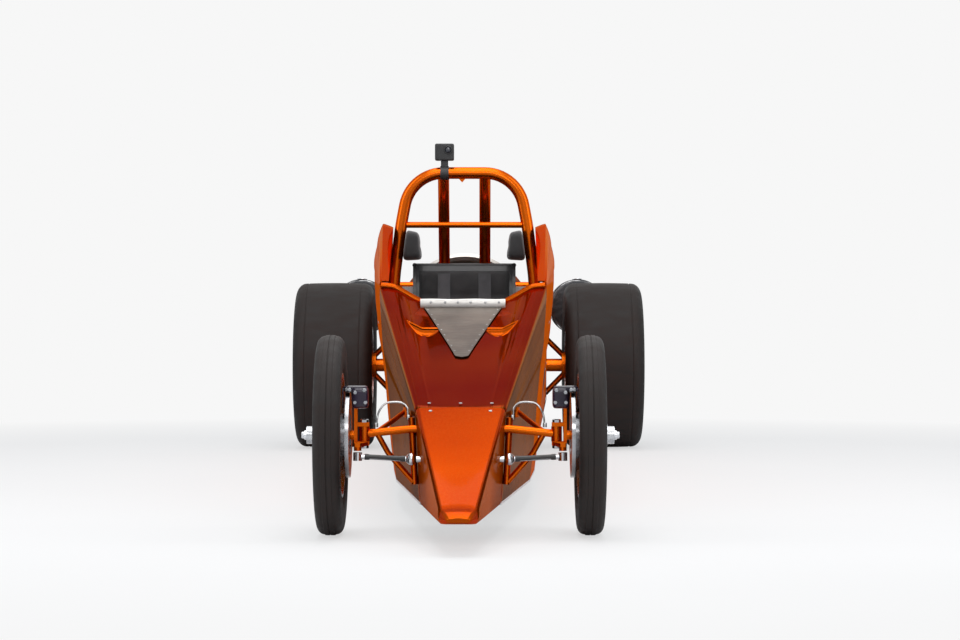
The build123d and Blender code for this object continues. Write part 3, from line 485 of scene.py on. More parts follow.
ACROSS, ALONG, EVEN = (0.06, 1, 1), (1, 0.05, 1), (1, 1, 1)
plate_metal, sheet_metal, pan_metal, band_metal, chrome, bolt_metal, engine_metal = (plain_metal(*row) for row in (
    # name, dark tone, light tone, roughness, stretch of the grain, its scale and its depth
    ("plate_aluminium", (0.40, 0.37, 0.34), (0.56, 0.53, 0.50), (0.26, 0.46), ACROSS, 420, 0.00008),
    ("sheet_aluminium", (0.072, 0.058, 0.048), (0.155, 0.127, 0.106), (0.30, 0.52), ACROSS, 260, 0.00012),
    ("pan_aluminium", (0.42, 0.43, 0.44), (0.60, 0.60, 0.61), (0.22, 0.40), ALONG, 300, 0.00008),
    ("band_aluminium", (0.44, 0.42, 0.40), (0.62, 0.60, 0.58), (0.34, 0.55), ACROSS, 420, 0.00008),
    ("polished_steel", (0.50, 0.51, 0.53), (0.70, 0.71, 0.73), (0.05, 0.14), EVEN, 30, 0.00002),
    ("bolt_steel", (0.28, 0.28, 0.29), (0.50, 0.50, 0.50), (0.20, 0.40), EVEN, 180, 0.00005),
    ("engine_casing_metal", (0.17, 0.165, 0.16), (0.34, 0.325, 0.30), (0.30, 0.55), EVEN, 90, 0.0003)))
front_spun, rear_spun, disc_metal = (ringed_metal(*row) for row in (
    # name, dark tone, light tone, centre, pitch of the rings, roughness
    ("front_rim_metal", (0.42, 0.43, 0.45), (0.64, 0.65, 0.66), front_hub, 0.0028, (0.18, 0.34)),
    ("rear_rim_metal", (0.38, 0.39, 0.41), (0.60, 0.61, 0.62), rear_hub, 0.0036, (0.18, 0.34)),
    ("brake_disc_metal", (0.34, 0.34, 0.36), (0.56, 0.57, 0.59), front_hub, 0.0016, (0.14, 0.30))))
print("metals made:", len(bpy.data.materials))

# %% [markdown]
# ## Heat colours
# Steel that has been hot keeps a thin oxide, whose colour goes from straw through copper and purple to
# blue with the heat it has seen. The pipe is coolest at its front flange and hottest at the nozzle, so the
# colour follows the length of the car, broken up by noise.

# %% Heat-stained steel
OXIDE_COLOURS = ((0.15, (0.42, 0.40, 0.38)), (0.42, (0.45, 0.33, 0.18)), (0.62, (0.36, 0.20, 0.12)),
                 (0.78, (0.20, 0.12, 0.20)), (0.92, (0.10, 0.12, 0.20)), (1.0, (0.10, 0.09, 0.09)))


def heat_steel(name, cool_y, hot_y):
    """Steel whose oxide colour follows the distance along the pipe, broken up by noise."""
    graph = Graph(name)
    along = graph.spread(graph.node("SeparateXYZ", graph.place, out="Y"), 0.0, 1.0, cool_y, hot_y)
    stirred = graph.math("MULTIPLY_ADD", graph.noise(5.0, 6.0, stretch=(1.0, 1.6, 1.0)), 0.42, along)
    fine = graph.noise(120.0, 4.0)
    graph.relief(fine, 0.2, 0.0002)
    return graph.finish({"Base Color": graph.ramp(stirred, *OXIDE_COLOURS), "Metallic": 1.0,
                         "Roughness": graph.spread(fine, 0.26, 0.50, 0.3, 0.7)})


pipe_steel = heat_steel("pipe_heat_steel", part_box("tail_pipe")[0].y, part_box("exhaust_nozzle")[1].y)
print("heat steel", pipe_steel.name)

# %% [markdown]
# ## Rubber, cloth, carbon and plastic
# Tyre rubber is a dark grey, a little brown where it has been scrubbed. Cloth and webbing get a real weave:
# two waves at right angles, a few millimetres apart. Moulded plastic has a fine pebble grain.

# %% Rubber, cloth, carbon and plastic
def rubber(name, hub):
    """Tyre rubber: scrubbed tread round the outside, cleaner walls and a fine grain."""
    graph = Graph(name)
    tread = graph.spread(graph.from_axle(hub), 0.0, 1.0, hub[2] * 0.955, hub[2] * 0.985)
    scrub = graph.noise(22.0, 6.0, 0.7, (0.35, 1.0, 1.0))
    mix = graph.tree.nodes.new("ShaderNodeMix")
    mix.data_type = "RGBA"
    wall_tone = graph.tones(scrub, (0.0070, 0.0058, 0.0054), (0.0125, 0.0100, 0.0094))
    tread_tone = graph.tones(scrub, (0.0095, 0.0070, 0.0064), (0.0250, 0.0180, 0.0160))
    for key, source in (("Factor", tread), ("A", wall_tone), ("B", tread_tone)):
        graph.tree.links.new(source, mix.inputs[key])
    graph.relief(graph.noise(520.0), 0.35, 0.0004)
    return graph.finish({"Base Color": mix.outputs["Result"], "Specular IOR Level": 0.28,
                         "Roughness": graph.spread(scrub, 0.52, 0.82, 0.3, 0.7)})


def woven(name, dark, light, pitch, sheen=0.4):
    """Woven cloth: two waves at right angles set which thread is on top, and the height between them."""
    graph = Graph(name)
    threads = [graph.waves(graph.node("SeparateXYZ", graph.place, out=axis), pitch) for axis in "XZ"]
    cross = graph.math("MULTIPLY", *threads)
    blend = graph.math("MULTIPLY_ADD", cross, 0.22, graph.noise(14.0, 5.0))
    graph.relief(cross, 0.45, pitch * 0.22)
    return graph.finish({"Base Color": graph.tones(blend, dark, light, 0.25, 0.75), "Roughness": 0.86,
                         "Sheen Weight": sheen, "Sheen Roughness": 0.5})


def carbon(name):
    """Carbon cloth under resin: a twill of dark squares whose gloss turns from thread to thread."""
    graph = Graph(name)
    twill = graph.node("Mapping", graph.place, None, (math.radians(45), 0, math.radians(45)))
    colour = graph.node("TexChecker", twill, (0.012, 0.012, 0.013, 1), (0.040, 0.040, 0.042, 1), 260.0)
    squares = colour.node.outputs["Fac"]
    graph.relief(squares, 0.08, 0.0003)
    return graph.finish({"Base Color": colour, "Roughness": graph.spread(squares, 0.30, 0.48),
                         "Coat Weight": 0.8, "Coat Roughness": 0.06})


def moulded(name, dark, light, rough=(0.38, 0.58)):
    """Moulded plastic or powder paint with a fine pebble grain."""
    graph = Graph(name)
    pebble = graph.noise(900.0, 2.0)
    graph.relief(pebble, 0.25, 0.0002)
    return graph.finish({"Base Color": graph.tones(graph.noise(12.0, 4.0), dark, light),
                         "Roughness": graph.spread(pebble, *rough, 0.35, 0.65)})


front_rubber = rubber("front_tyre_rubber", front_hub)
rear_rubber = rubber("rear_tyre_rubber", rear_hub)
pad_cloth = woven("pad_cloth", (0.012, 0.012, 0.013), (0.034, 0.033, 0.034), 0.0018)
belt_web = woven("belt_webbing", (0.045, 0.046, 0.050), (0.110, 0.110, 0.116), 0.0022, sheen=0.25)
pack_cloth = woven("pack_cloth", (0.014, 0.014, 0.016), (0.045, 0.044, 0.047), 0.0026)
seat_carbon = carbon("carbon_weave")
black_plastic = moulded("black_moulding", (0.010, 0.010, 0.011), (0.022, 0.022, 0.023))
black_coat = moulded("black_powder_coat", (0.012, 0.012, 0.013), (0.028, 0.027, 0.027), rough=(0.28, 0.45))
caliper_coat = moulded("caliper_coat", (0.007, 0.003, 0.013), (0.018, 0.007, 0.032), rough=(0.20, 0.34))
print("materials made:", len(bpy.data.materials))

# %% Give every measured node its finish
NODE_FINISH = (
    (frame_orange_painted_highlight, "frame_left frame_right cross_members roll_hoop hoop_stays front_axle knuckle_left "
                   "knuckle_right rear_axle parachute_brackets"),
    (candy_orange, "nose_cone front_cowl body_side_left body_side_right shoulder_panels"),
    (pan_metal, "belly_pan firewall pedals"), (seat_carbon, "seat_shell dash_panel"),
    (black_coat, "steering_column steering_wheel"), (engine_metal, "engine_casing"),
    (plate_metal, "intake_ring cowl_plate"), (pipe_steel, "tail_pipe exhaust_nozzle"),
    (caliper_coat, "caliper_left caliper_right"), (disc_metal, "brake_disc_left brake_disc_right"),
    (front_spun, "front_rim_left front_rim_right"), (rear_spun, "rear_rim_left rear_rim_right"),
    (bolt_metal, "rack_tube"), (chrome, "steering_links"), (black_plastic, "action_camera"),
    (pad_cloth, "head_pads"), (belt_web, "seat_belts"), (pack_cloth, "parachute_packs"),
    (front_rubber, "front_tyre_left front_tyre_right"), (rear_rubber, "rear_tyre_left rear_tyre_right"),
)
for material, names in NODE_FINISH:
    for name in names.split():
        nodes[name].data.materials.clear()
        nodes[name].data.materials.append(material)
print("finished nodes", sum(len(names.split()) for _, names in NODE_FINISH), "of", len(nodes))

# %% [markdown]
# ## Body skins
# The body is laid up or folded from thin sheet, so its edges are never knife sharp: each crease is a small
# round that catches a bright line of light. A skin is worked out as a section, a row of corners across the
# car, carried along the stations. Every edge of the section bows out a little, every corner is swapped for
# a curve, and the corners themselves come from a short table of stations.

# %% Sections that bow and round
def between_rows(rows, stations):
    """Straight-line values between table rows: each column is read off at every station."""
    rows = np.asarray(rows, float)
    return np.stack([np.interp(stations, rows[:, 0], column) for column in rows[:, 1:].T], axis=-1)


def corners_at(rows, stations):
    """The section's corners at each station, from table rows that hold x and z of one corner after another."""
    return between_rows(rows, stations).reshape(len(stations), -1, 2)


def both_sides(half):
    """Whole section from the corners of its left half, in order from the foot to the middle."""
    return np.concatenate([half, half[:, ::-1] * (-1, 1)], axis=1)


def bowed_section(corners, radius, crown, closed=False, edge_steps=7, corner_steps=6):
    """Points round a section: edges bow out by crown * 4t(1-t), corners are (1-t)^2 A + 2t(1-t) C + t^2 B."""
    start, stop = corners, np.roll(corners, -1, axis=1)
    near, crown = np.array(radius, float), np.array(crown, float)
    far = np.roll(near, -1)
    if not closed:
        start, stop, near, far, crown = start[:, :-1], stop[:, :-1], near[:-1], far[:-1], crown[:-1]
        near[0] = far[-1] = 0.0
    size = np.linalg.norm(stop - start, axis=-1, keepdims=True)
    way = (stop - start) / np.maximum(size, 1e-9)
    out = np.stack([way[..., 1], -way[..., 0]], axis=-1)
    a = start + way * np.minimum(near[:, None], 0.45 * size)
    b = stop - way * np.minimum(far[:, None], 0.45 * size)
    a, b, stop, out = (points[..., None, :] for points in (a, b, stop, out))
    t = np.linspace(0, 1, edge_steps)[:, None]
    edge = a + (b - a) * t + out * (4 * t * (1 - t) * crown[:, None, None])
    t = np.linspace(0, 1, corner_steps + 2)[1:-1, None]
    bend = (1 - t) ** 2 * b + 2 * t * (1 - t) * stop + t ** 2 * np.roll(a, -1, axis=1)
    points = np.concatenate([edge, bend], axis=2).reshape(start.shape[0], -1, 2)
    return points if closed else points[:, :-corner_steps]


def skin_points(stations, section):
    """Grid of points: each section stands at its own station behind the front axle."""
    y = np.broadcast_to((front_y + stations)[:, None], section.shape[:2])
    return np.stack([section[..., 0], y, section[..., 1]], axis=-1)


def skin_piece(name, stations, section, thickness, flip=True):
    """Open skin from its sections, given a wall inside its outer face."""
    return walled(grid_piece(name, skin_points(stations, section), flip=flip), thickness)


print("section helpers ready")

# %% [markdown]
# ### Nose
# The nose is a flat-topped wedge. Its sides lean in towards the belly, and its tip is a small blunt face
# close to the road. A closed section at each station, with a larger round on the top edges, gives the
# bright chine line that runs to the tip. A boolean bores it for the steering rack, so that the rack's end
# joints can slide in at full lock.

# %% Nose
NOSE_ROWS = (
    # station, foot x, foot z, top x, top z
    (-0.750, 0.0325, 0.1010, 0.0330, 0.1125),
    (-0.742, 0.0370, 0.0975, 0.0380, 0.1180),
    (-0.718, 0.0465, 0.0940, 0.0480, 0.1290),
    (-0.690, 0.0562, 0.0925, 0.0580, 0.1365),
    (-0.490, 0.0767, 0.0925, 0.0826, 0.2140),
    (-0.020, 0.1259, 0.0949, 0.1409, 0.3972),
    (-0.004, 0.1275, 0.0950, 0.1428, 0.4034),
    (-0.001, 0.1255, 0.0970, 0.1405, 0.4015),
)
RACK_Y, RACK_Z = front_y - 0.100, 0.247
RACK_BORE = 0.0243

nose_stations = np.concatenate([np.linspace(-0.750, -0.690, 9), np.linspace(-0.66, -0.03, 22),
                                [-0.012, -0.004, -0.0025, -0.001]])
nose_section = bowed_section(both_sides(corners_at(NOSE_ROWS, nose_stations)), (0.010, 0.016, 0.016, 0.010),
                             (0.0015, 0.0022, 0.0015, 0.0), closed=True)
nose = shut("nose_skin", skin_points(nose_stations, nose_section), merge=1e-5)
rack_bore = turned("rack_bore", [(-0.2, 0.0), (-0.2, RACK_BORE), (0.2, RACK_BORE), (0.2, 0.0)],
                   (0, RACK_Y, RACK_Z), (1, 0, 0), 64)
finish_piece(bored(nose, rack_bore), nose_orange_painted_shade, replaced=["nose_cone"], sharp=40)
print("nose faces", len(nose.data.polygons))

# %% [markdown]
# ### Cowl
# Behind the nose the same wedge goes on as a hollow cowl over the driver's legs. Its top is dished towards
# the cockpit, and two eye-shaped vents are cut through the dish. The vents are cut with a boolean, because
# their lids are not aligned with the skin's own grid.

# %% Cowl with its two vents
COWL_ROWS = (
    # station, then x and z of the foot, lower, upper, chine, rim and dish corners
    (0.0005, 0.1265, 0.103, 0.1345, 0.260, 0.1395, 0.370, 0.1415, 0.4035, 0.118, 0.4035, 0.075, 0.4030),
    (0.004, 0.1283, 0.103, 0.1365, 0.261, 0.1415, 0.371, 0.1435, 0.4060, 0.118, 0.4060, 0.075, 0.4050),
    (1.100, 0.2400, 0.103, 0.2720, 0.455, 0.2970, 0.690, 0.3000, 0.8000, 0.245, 0.7950, 0.165, 0.7480),
)
COWL_ROUND = (0.0, 0.060, 0.040, 0.014, 0.016, 0.045)
COWL_CROWN = (0.002, 0.003, 0.001, 0.001, 0.001, 0.0, 0.001, 0.001, 0.001, 0.003, 0.002, 0.0)
VENT_FRONT, VENT_BACK = 0.690, 0.780
VENT_INNER, VENT_OUTER = 0.076, 0.190


def vent_outline(side, grow=0.0, steps=25):
    """Eye seen from above: a straight lid at the back, and a lid in front that follows sin(pi t)^0.8."""
    t = np.linspace(0, 1, steps)
    x = VENT_INNER - grow + (VENT_OUTER - VENT_INNER + 2 * grow) * t
    front = VENT_BACK + grow - (VENT_BACK - VENT_FRONT + 2 * grow) * np.sin(np.pi * t) ** 0.8
    s = np.concatenate([np.full(steps, VENT_BACK + grow), front[-2:0:-1]])
    return np.stack([side * np.concatenate([x, x[-2:0:-1]]), front_y + s], axis=-1)


def on_cowl(outline, drop):
    """Points of an outline dropped onto the cowl's top: the dish's flat and its slope up to the rim."""
    rim, dish = corners_at(COWL_ROWS, outline[:, 1] - front_y)[:, 4:].transpose(1, 0, 2)
    t = np.clip((np.abs(outline[:, 0]) - dish[:, 0]) / np.maximum(rim[:, 0] - dish[:, 0], 1e-6), 0, 1)
    return np.c_[outline, dish[:, 1] + t * (rim[:, 1] - dish[:, 1]) - drop]


cowl_stations = np.concatenate([[0.0005, 0.002, 0.004], np.linspace(0.03, 1.098, 44)])
cowl_section = bowed_section(both_sides(corners_at(COWL_ROWS, cowl_stations)), COWL_ROUND + COWL_ROUND[::-1],
                             COWL_CROWN, edge_steps=9)
cowl = skin_piece("cowl_skin", cowl_stations, cowl_section, 0.010)
cutters = [shut("vent_cutter", np.stack([np.insert(vent_outline(side), 2, z, axis=1) for z in (0.50, 0.85)]))
           for side in SIDES.values()]
finish_piece(bored(cowl, *cutters), cowl_candy_painted_shade, replaced=["front_cowl"], sharp=30)
print("cowl faces", len(cowl.data.polygons))

# %% Vent lips: a rolled bead round each eye, lying on the skin, and a duct below it
for word, side in SIDES.items():
    outline = vent_outline(side, grow=0.002)
    path = on_cowl(outline, 0.001)
    ring = tube_points(np.concatenate([path, path[:2]]), 0.0042, sides=10)[:-2]
    bead = grid_piece("vent_lip_" + word, ring, wrap_rows=True, wrap_columns=True)
    finish_piece(outward(bead), candy_orange, sharp=60)
    inner = vent_outline(side, grow=-0.010)
    walls = [path - (0, 0, 0.002), on_cowl(inner, 0.022), on_cowl(inner, 0.060) + (0, 0.012, 0)]
    duct = walled(grid_piece("vent_duct_" + word, np.stack(walls), wrap_columns=True), 0.002)
    finish_piece(outward(duct), nose_orange_painted_shade, sharp=60)
print("vent lips and ducts ready")

# %% Cockpit lip: the cowl's rear edge rolled over a wire
LIP_ROUTE = ((0.150, 0.738), (0.190, 0.760), (0.243, 0.790), (0.270, 0.796), (0.294, 0.798))
for word, side in SIDES.items():
    path = smooth_path([(side * x, front_y + 1.089, z) for x, z in LIP_ROUTE], 40)
    finish_piece(tube("cockpit_lip_" + word, path, 0.0130, 20, up=(0, 1, 0)), nose_orange_painted_shade)
print("cockpit lips ready")

# %% [markdown]
# ### Sides and shoulders
# The sides run from the cockpit to the tail with two soft creases. Beside the driver they rise into
# shoulders that end in a sharp point and fold inwards, so the air leaves cleanly round the roll hoop.

# %% Side skins and shoulders
SIDE_ROWS = (
    # station, then x and z of the foot, lower, upper and top corners
    (1.100, 0.240, 0.103, 0.272, 0.455, 0.297, 0.690, 0.300, 0.800),
    (1.670, 0.268, 0.103, 0.306, 0.490, 0.338, 0.735, 0.342, 0.860),
    (3.200, 0.300, 0.103, 0.340, 0.430, 0.352, 0.735, 0.350, 0.850),
    (4.700, 0.352, 0.103, 0.385, 0.250, 0.385, 0.720, 0.372, 0.830),
    (5.350, 0.352, 0.103, 0.385, 0.250, 0.385, 0.700, 0.372, 0.800),
)
SHOULDER_ROWS = (
    # station, then x and z of the foot, the widest line, the tip and its return
    (1.110, 0.301, 0.8015, 0.301, 0.808, 0.293, 0.816, 0.268, 0.814),
    (1.670, 0.342, 0.8603, 0.345, 0.905, 0.310, 1.040, 0.270, 1.025),
    (2.300, 0.345, 0.8563, 0.347, 0.890, 0.325, 0.985, 0.294, 0.975),
    (3.100, 0.3494, 0.851, 0.3496, 0.858, 0.345, 0.872, 0.322, 0.870),
)
side_stations = np.linspace(1.102, 5.350, 90)
side_section = bowed_section(corners_at(SIDE_ROWS, side_stations), (0, 0.070, 0.050, 0),
                             (0.002, 0.003, 0.001, 0))
shoulder_stations = np.concatenate([np.linspace(1.112, 1.67, 20), np.linspace(1.70, 3.10, 36)])
shoulder_section = bowed_section(corners_at(SHOULDER_ROWS, shoulder_stations), (0, 0.050, 0.006, 0),
                                 (0.001, 0.004, 0.001, 0))
for word, side in SIDES.items():
    for name, stations, section, thickness, replaced in (
            ("side_skin_", side_stations, side_section, 0.010, "body_side_" + word),
            ("shoulder_skin_", shoulder_stations, shoulder_section, 0.005, "shoulder_panels")):
        skin = skin_piece(name + word, stations, section * (side, 1), thickness, flip=side > 0)
        finish_piece(skin, candy_orange, replaced=[replaced], sharp=30)
print("sides and shoulders ready")

# %% [markdown]
# ### Plate on the cowl
# A bare aluminium plate covers the pedals' hatch: a long V that ends in an upstanding band at the driver's
# lip. Real sheet is never quite flat, so its surface gets a slow ripple of under a millimetre, and its band
# is held by a row of dome rivets.

# %% Riveted plate
PLATE_ROWS = (
    # station, half width
    (0.470, 0.003), (0.480, 0.022), (0.587, 0.044), (0.912, 0.117), (0.996, 0.138),
)
PLATE_SLOPE = (0.748 - 0.404) / 1.100
BAND_Y, BAND_FOOT, BAND_HEIGHT, BAND_HALF = front_y + 1.0005, 0.7175, 0.0320, 0.151
RIVET_X = (-0.114, -0.063, -0.018, 0.027, 0.080, 0.128)


def dish_z(s):
    """Height of the dish's flat at a station."""
    return 0.4040 + PLATE_SLOPE * s


s = np.linspace(0.470, 0.996, 60)[:, None]
u = np.linspace(-1, 1, 41)
x = between_rows(PLATE_ROWS, s[:, 0]) * u
ripple = 0.0005 * np.sin(38 * s + 9 * x) * np.cos(46 * x) * (1 - u ** 4)
grid = np.stack([x, front_y + s + 0 * x, dish_z(s) + 0.0038 + ripple], axis=-1)
plate = walled(grid_piece("cowl_plate_sheet", grid), 0.002, 1.0)
finish_piece(outward(plate), sheet_metal, replaced=["cowl_plate"], sharp=40)
x = BAND_HALF * np.linspace(-1, 1, 61) * np.ones((5, 1))
z = BAND_FOOT + BAND_HEIGHT * np.array([[0.0], [0.10], [0.5], [0.9], [1.0]]) + 0.0007 * np.sin(41 * x)
y = BAND_Y + np.array([[0.0025], [0.0], [0.0], [0.0], [0.0025]]) + 0 * x
band = walled(grid_piece("cowl_plate_band", np.stack([x, y, z], -1), flip=True), 0.0025)
finish_piece(outward(band), band_metal, sharp=40)
studs("plate_rivets", stud_form(BUTTON, 0.0048, 0.0024, 14), [(x, BAND_Y - 0.001, 0.739) for x in RIVET_X],
      (0, -1, 0), bolt_metal, sharp=60)
s = np.linspace(0.53, 0.97, 9)
x = between_rows(PLATE_ROWS, s)[:, 0] - 0.008
spots = np.concatenate([np.stack([side * x, front_y + s, dish_z(s) + 0.0056], -1) for side in (1, -1)])
studs("plate_edge_rivets", stud_form(BUTTON, 0.0028, 0.0012, 10), spots, (0, -PLATE_SLOPE, 1), bolt_metal,
      sharp=60)
print("plate and rivets", len(RIVET_X) + len(spots))

# %% [markdown]
# ### Fasteners on the body
# Quarter-turn fasteners hold the nose to the cowl and the skins to the frame: a flat steel button in a thin
# dished washer. They follow the joint lines at even steps, as a body shop would drill them.

# %% Quarter-turn fasteners
NOSE_SLOPE = (0.3972 - 0.2140) / 0.470
JOINT_STATIONS = (2.30, 3.45, 4.60)


def flank_spot(side, s, share, proud, step=0.0):
    """Place and outward way on a side skin, a share of the way down from its upper crease to its lower one."""
    low, high = corners_at(SIDE_ROWS, [s])[0, 1:3]
    x, z = high + (low - high) * share
    return (side * (x + proud), front_y + s + step, z), (side, 0, (low[0] - high[0]) / (high[1] - low[1]))


def straight_runs(corners, steps):
    """Points along straight lines between corners, each line cut into equal steps."""
    corners = np.asarray(corners, float)
    runs = [np.linspace(a, b, steps + 1)[:-1] for a, b in zip(corners, corners[1:])]
    return np.concatenate(runs + [corners[-1:]])


spots = [((x, front_y - 0.028, 0.3952), (0, -NOSE_SLOPE, 1)) for x in (-0.095, 0.095)]
spots += [((x, front_y + 0.028, dish_z(0.028) + 0.0048), (0, -PLATE_SLOPE, 1)) for x in (-0.1, 0.0, 0.1)]
spots += [flank_spot(side, s, 0.22, 0.0022) for side in (1, -1) for s in np.linspace(1.45, 5.25, 12)]
for word, side in SIDES.items():
    seams = []
    for s in JOINT_STATIONS:
        foot, low, high, top = corners_at(SIDE_ROWS, [s])[0]
        line = [(side * (x + 0.0004), front_y + s, z) for x, z in (top, high, low, (foot[0], 0.107))]
        seams.append(tube("panel_seam", straight_runs(line, 8), 0.0015, 8, up=(0, 1, 0)))
        for z in (0.30, 0.44, 0.58, 0.70):
            share = (high[1] - z) / (high[1] - low[1])
            if 0 < share < 1:
                spots += [flank_spot(side, s, share, 0.0016, step) for step in (-0.022, 0.022)]
    finish_piece(joined("panel_seams_" + word, seams), black_coat)
places, ways = zip(*spots)
studs("body_fasteners", stud_form(FASTENER, 0.0058, 0.0012, 16), places, ways, bolt_metal, sharp=50)
print("fasteners", len(places))

# %% [markdown]
# ## Wheels
# The front tyres are narrow ribbed tyres on spun rims. The rear tyres are slicks: soft, wide and smooth,
# with only a small groove near each shoulder. Both are profiles turned about the axle. The profile is
# rounded where the tread meets the wall and stays inside the measured tyre's box.

# %% Tyres
def tyre_profile(mid, width, radius, seat, crown, grooves, groove_width, depth, shoulder):
    """Points round a tyre section: tread radius falls by crown * (x/half)^2 and dips at grooves."""
    half = width / 2
    x = np.linspace(-(half - shoulder), half - shoulder, 91)
    r = radius - crown * (x / half) ** 2
    for place in grooves:
        r = r - depth * np.exp(-((x - place) / groove_width) ** 6)
    turn = np.linspace(0, np.pi / 2, 12)[1:]
    edge_x = half - shoulder + shoulder * np.sin(turn)
    edge_r = r[-1] - shoulder * 1.15 * (1 - np.cos(turn))
    wall_x = half * np.array([0.995, 0.985, 0.998, 0.985, 0.93, 0.90, 0.84])
    wall_r = edge_r[-1] - (edge_r[-1] - seat) * np.array([0.25, 0.45, 0.52, 0.58, 0.86, 0.88, 1.0])
    right = np.c_[np.r_[edge_x, wall_x], np.r_[edge_r, wall_r]]
    return np.concatenate([right[::-1] * (-1, 1), np.c_[x, r], right]) + (mid, 0)


front_width, rear_width = front_hi.x - front_lo.x, rear_hi.x - rear_lo.x
front_profile = tyre_profile(front_mid_x, front_width, front_hub_z, 0.1985, 0.004, (-0.018, 0.0, 0.018),
                             0.0018, 0.0022, 0.024)
rear_profile = tyre_profile(rear_mid_x, rear_width, rear_hub_z, 0.2005, 0.005, (-0.135, 0.135),
                            0.002, 0.0028, 0.050)
for word, side in SIDES.items():
    for end, profile, hub, material in (("front_", front_profile, front_hub, front_rubber),
                                        ("rear_", rear_profile, rear_hub, rear_rubber)):
        tyre = turned(end + "tyre_rubber_" + word, profile * (side, 1), hub, (1, 0, 0), 160)
        finish_piece(tyre, material, end + "wheel_" + word, [end + "tyre_" + word], sharp=50)
print("tyres ready, front width", round(front_width, 3), "rear width", round(rear_width, 3))

# %% Wheel bolts, disc bolts and bead-lock bolts
SMALL_BOLT, WHEEL_NUT = hexagon(0.010, 0.006), hexagon(0.014, 0.009)
BOLT_CIRCLES = (
    # name, form, body, hub, distance from the car's middle, facing, circle's radius, how many, first angle
    ("front_wheel_bolts_", SMALL_BOLT, "front_wheel_", front_hub, front_mid_x + 0.012, 1, 0.044, 5, 0.0),
    ("disc_bolts_", SMALL_BOLT, "front_wheel_", front_hub, 0.3850, -1, 0.048, 6, 0.4),
    ("rear_wheel_nuts_", WHEEL_NUT, "rear_wheel_", rear_hub, rear_mid_x - 0.050, 1, 0.063, 5, 0.3),
    ("bead_lock_bolts_", SMALL_BOLT, "rear_wheel_", rear_hub, rear_mid_x + 0.184, 1, 0.1935, 16, 0.0),
)
for word, side in SIDES.items():
    for name, form, body, hub, x, facing, radius, count, first in BOLT_CIRCLES:
        t = first + np.arange(count) * 2 * np.pi / count
        spots = hub + np.stack([np.full(count, side * x), radius * np.sin(t), radius * np.cos(t)], axis=-1)
        studs(name + word, form, spots, (side * facing, 0, 0), bolt_metal, body + word)
print("wheel bolts ready")

# %% [markdown]
# ## Floor
# The floor is one pale sheet that runs past the edge of the picture. Seen by the camera it is partly lit
# from itself, so it fades into the white background, and it still shows the soft shadow under the car.

# %% Floor
x, y = np.meshgrid(np.linspace(-60, 60, 9), np.linspace(-60, 60, 9), indexing="ij")
floor = grid_piece("studio_floor", np.stack([x, y, 0 * x], -1), flip=True)
graph = Graph("studio_floor")
far = graph.spread(graph.node("VectorMath", graph.place, operation="LENGTH", out="Value"), 0.62, 1.0, 3.6, 6.0)
for_camera = graph.math("MULTIPLY", far, graph.node("LightPath", out="Is Camera Ray"))
mixed = graph.node("MixShader", for_camera, graph.shader.outputs["BSDF"], graph.node("Emission", BACKDROP))
graph.tree.links.new(mixed, graph.tree.nodes["Material Output"].inputs["Surface"])
floor.data.materials.append(graph.finish({
    "Base Color": graph.tones(graph.noise(0.8), (0.84, 0.84, 0.84), (0.86, 0.86, 0.86)), "Roughness": 0.9,
    "Specular IOR Level": 0.1}))
print("floor ready")

# %% [markdown]
# ### Brake calipers
# Each caliper is a finned casting in two halves that straddle the disc, joined by bridge bolts. The coat is
# a dark purple, and the bolt heads are bare steel.

# %% Calipers
CALIPER_BOXES = (
    # inner x, outer x, low z, high z, half length
    (0.2922, 0.3430, 0.4026, 0.4690, 0.049), (0.3690, 0.3738, 0.4026, 0.4690, 0.046),
    (0.2960, 0.3725, 0.4555, 0.4738, 0.040),
)
CALIPER_BOLTS = (
    # x, z, distance ahead of the axle
    (0.3000, 0.4225, 0.0475), (0.3330, 0.4225, 0.0475), (0.3035, 0.4610, 0.0465), (0.3320, 0.4540, 0.0475),
    (0.3500, 0.4630, 0.0390), (0.3605, 0.4630, 0.0390),
)
for word, side in SIDES.items():
    parts = [soft_box("caliper_part", (side * x0, front_y - half, z0), (side * x1, front_y + half, z1), 0.30)
             for x0, x1, z0, z1, half in CALIPER_BOXES]
    parts += [soft_box("caliper_fin", (side * 0.2960, y - 0.0024, 0.4660), (side * 0.3420, y + 0.0024, 0.4722),
                       0.3, 13, 16) for y in front_y + np.linspace(-0.028, 0.028, 5)]
    caliper = joined("caliper_body_" + word, parts)
    finish_piece(caliper, caliper_coat, "knuckle_" + word, ["caliper_" + word], sharp=50)
    spots = [(side * x, front_y - ahead, z) for x, z, ahead in CALIPER_BOLTS]
    studs("caliper_bolts_" + word, hexagon(0.0115, 0.0065), spots, (0, -1, 0), chrome, "knuckle_" + word)
print("calipers ready")

# %% [markdown]
# ### Suspension hardware
# Lock nuts sit on the kingpins, black sleeves cover the tie rods, balls close the rack's ends, and a bent
# brake pipe runs along the axle to each side. Small hardware like this gives the eye the car's real scale.

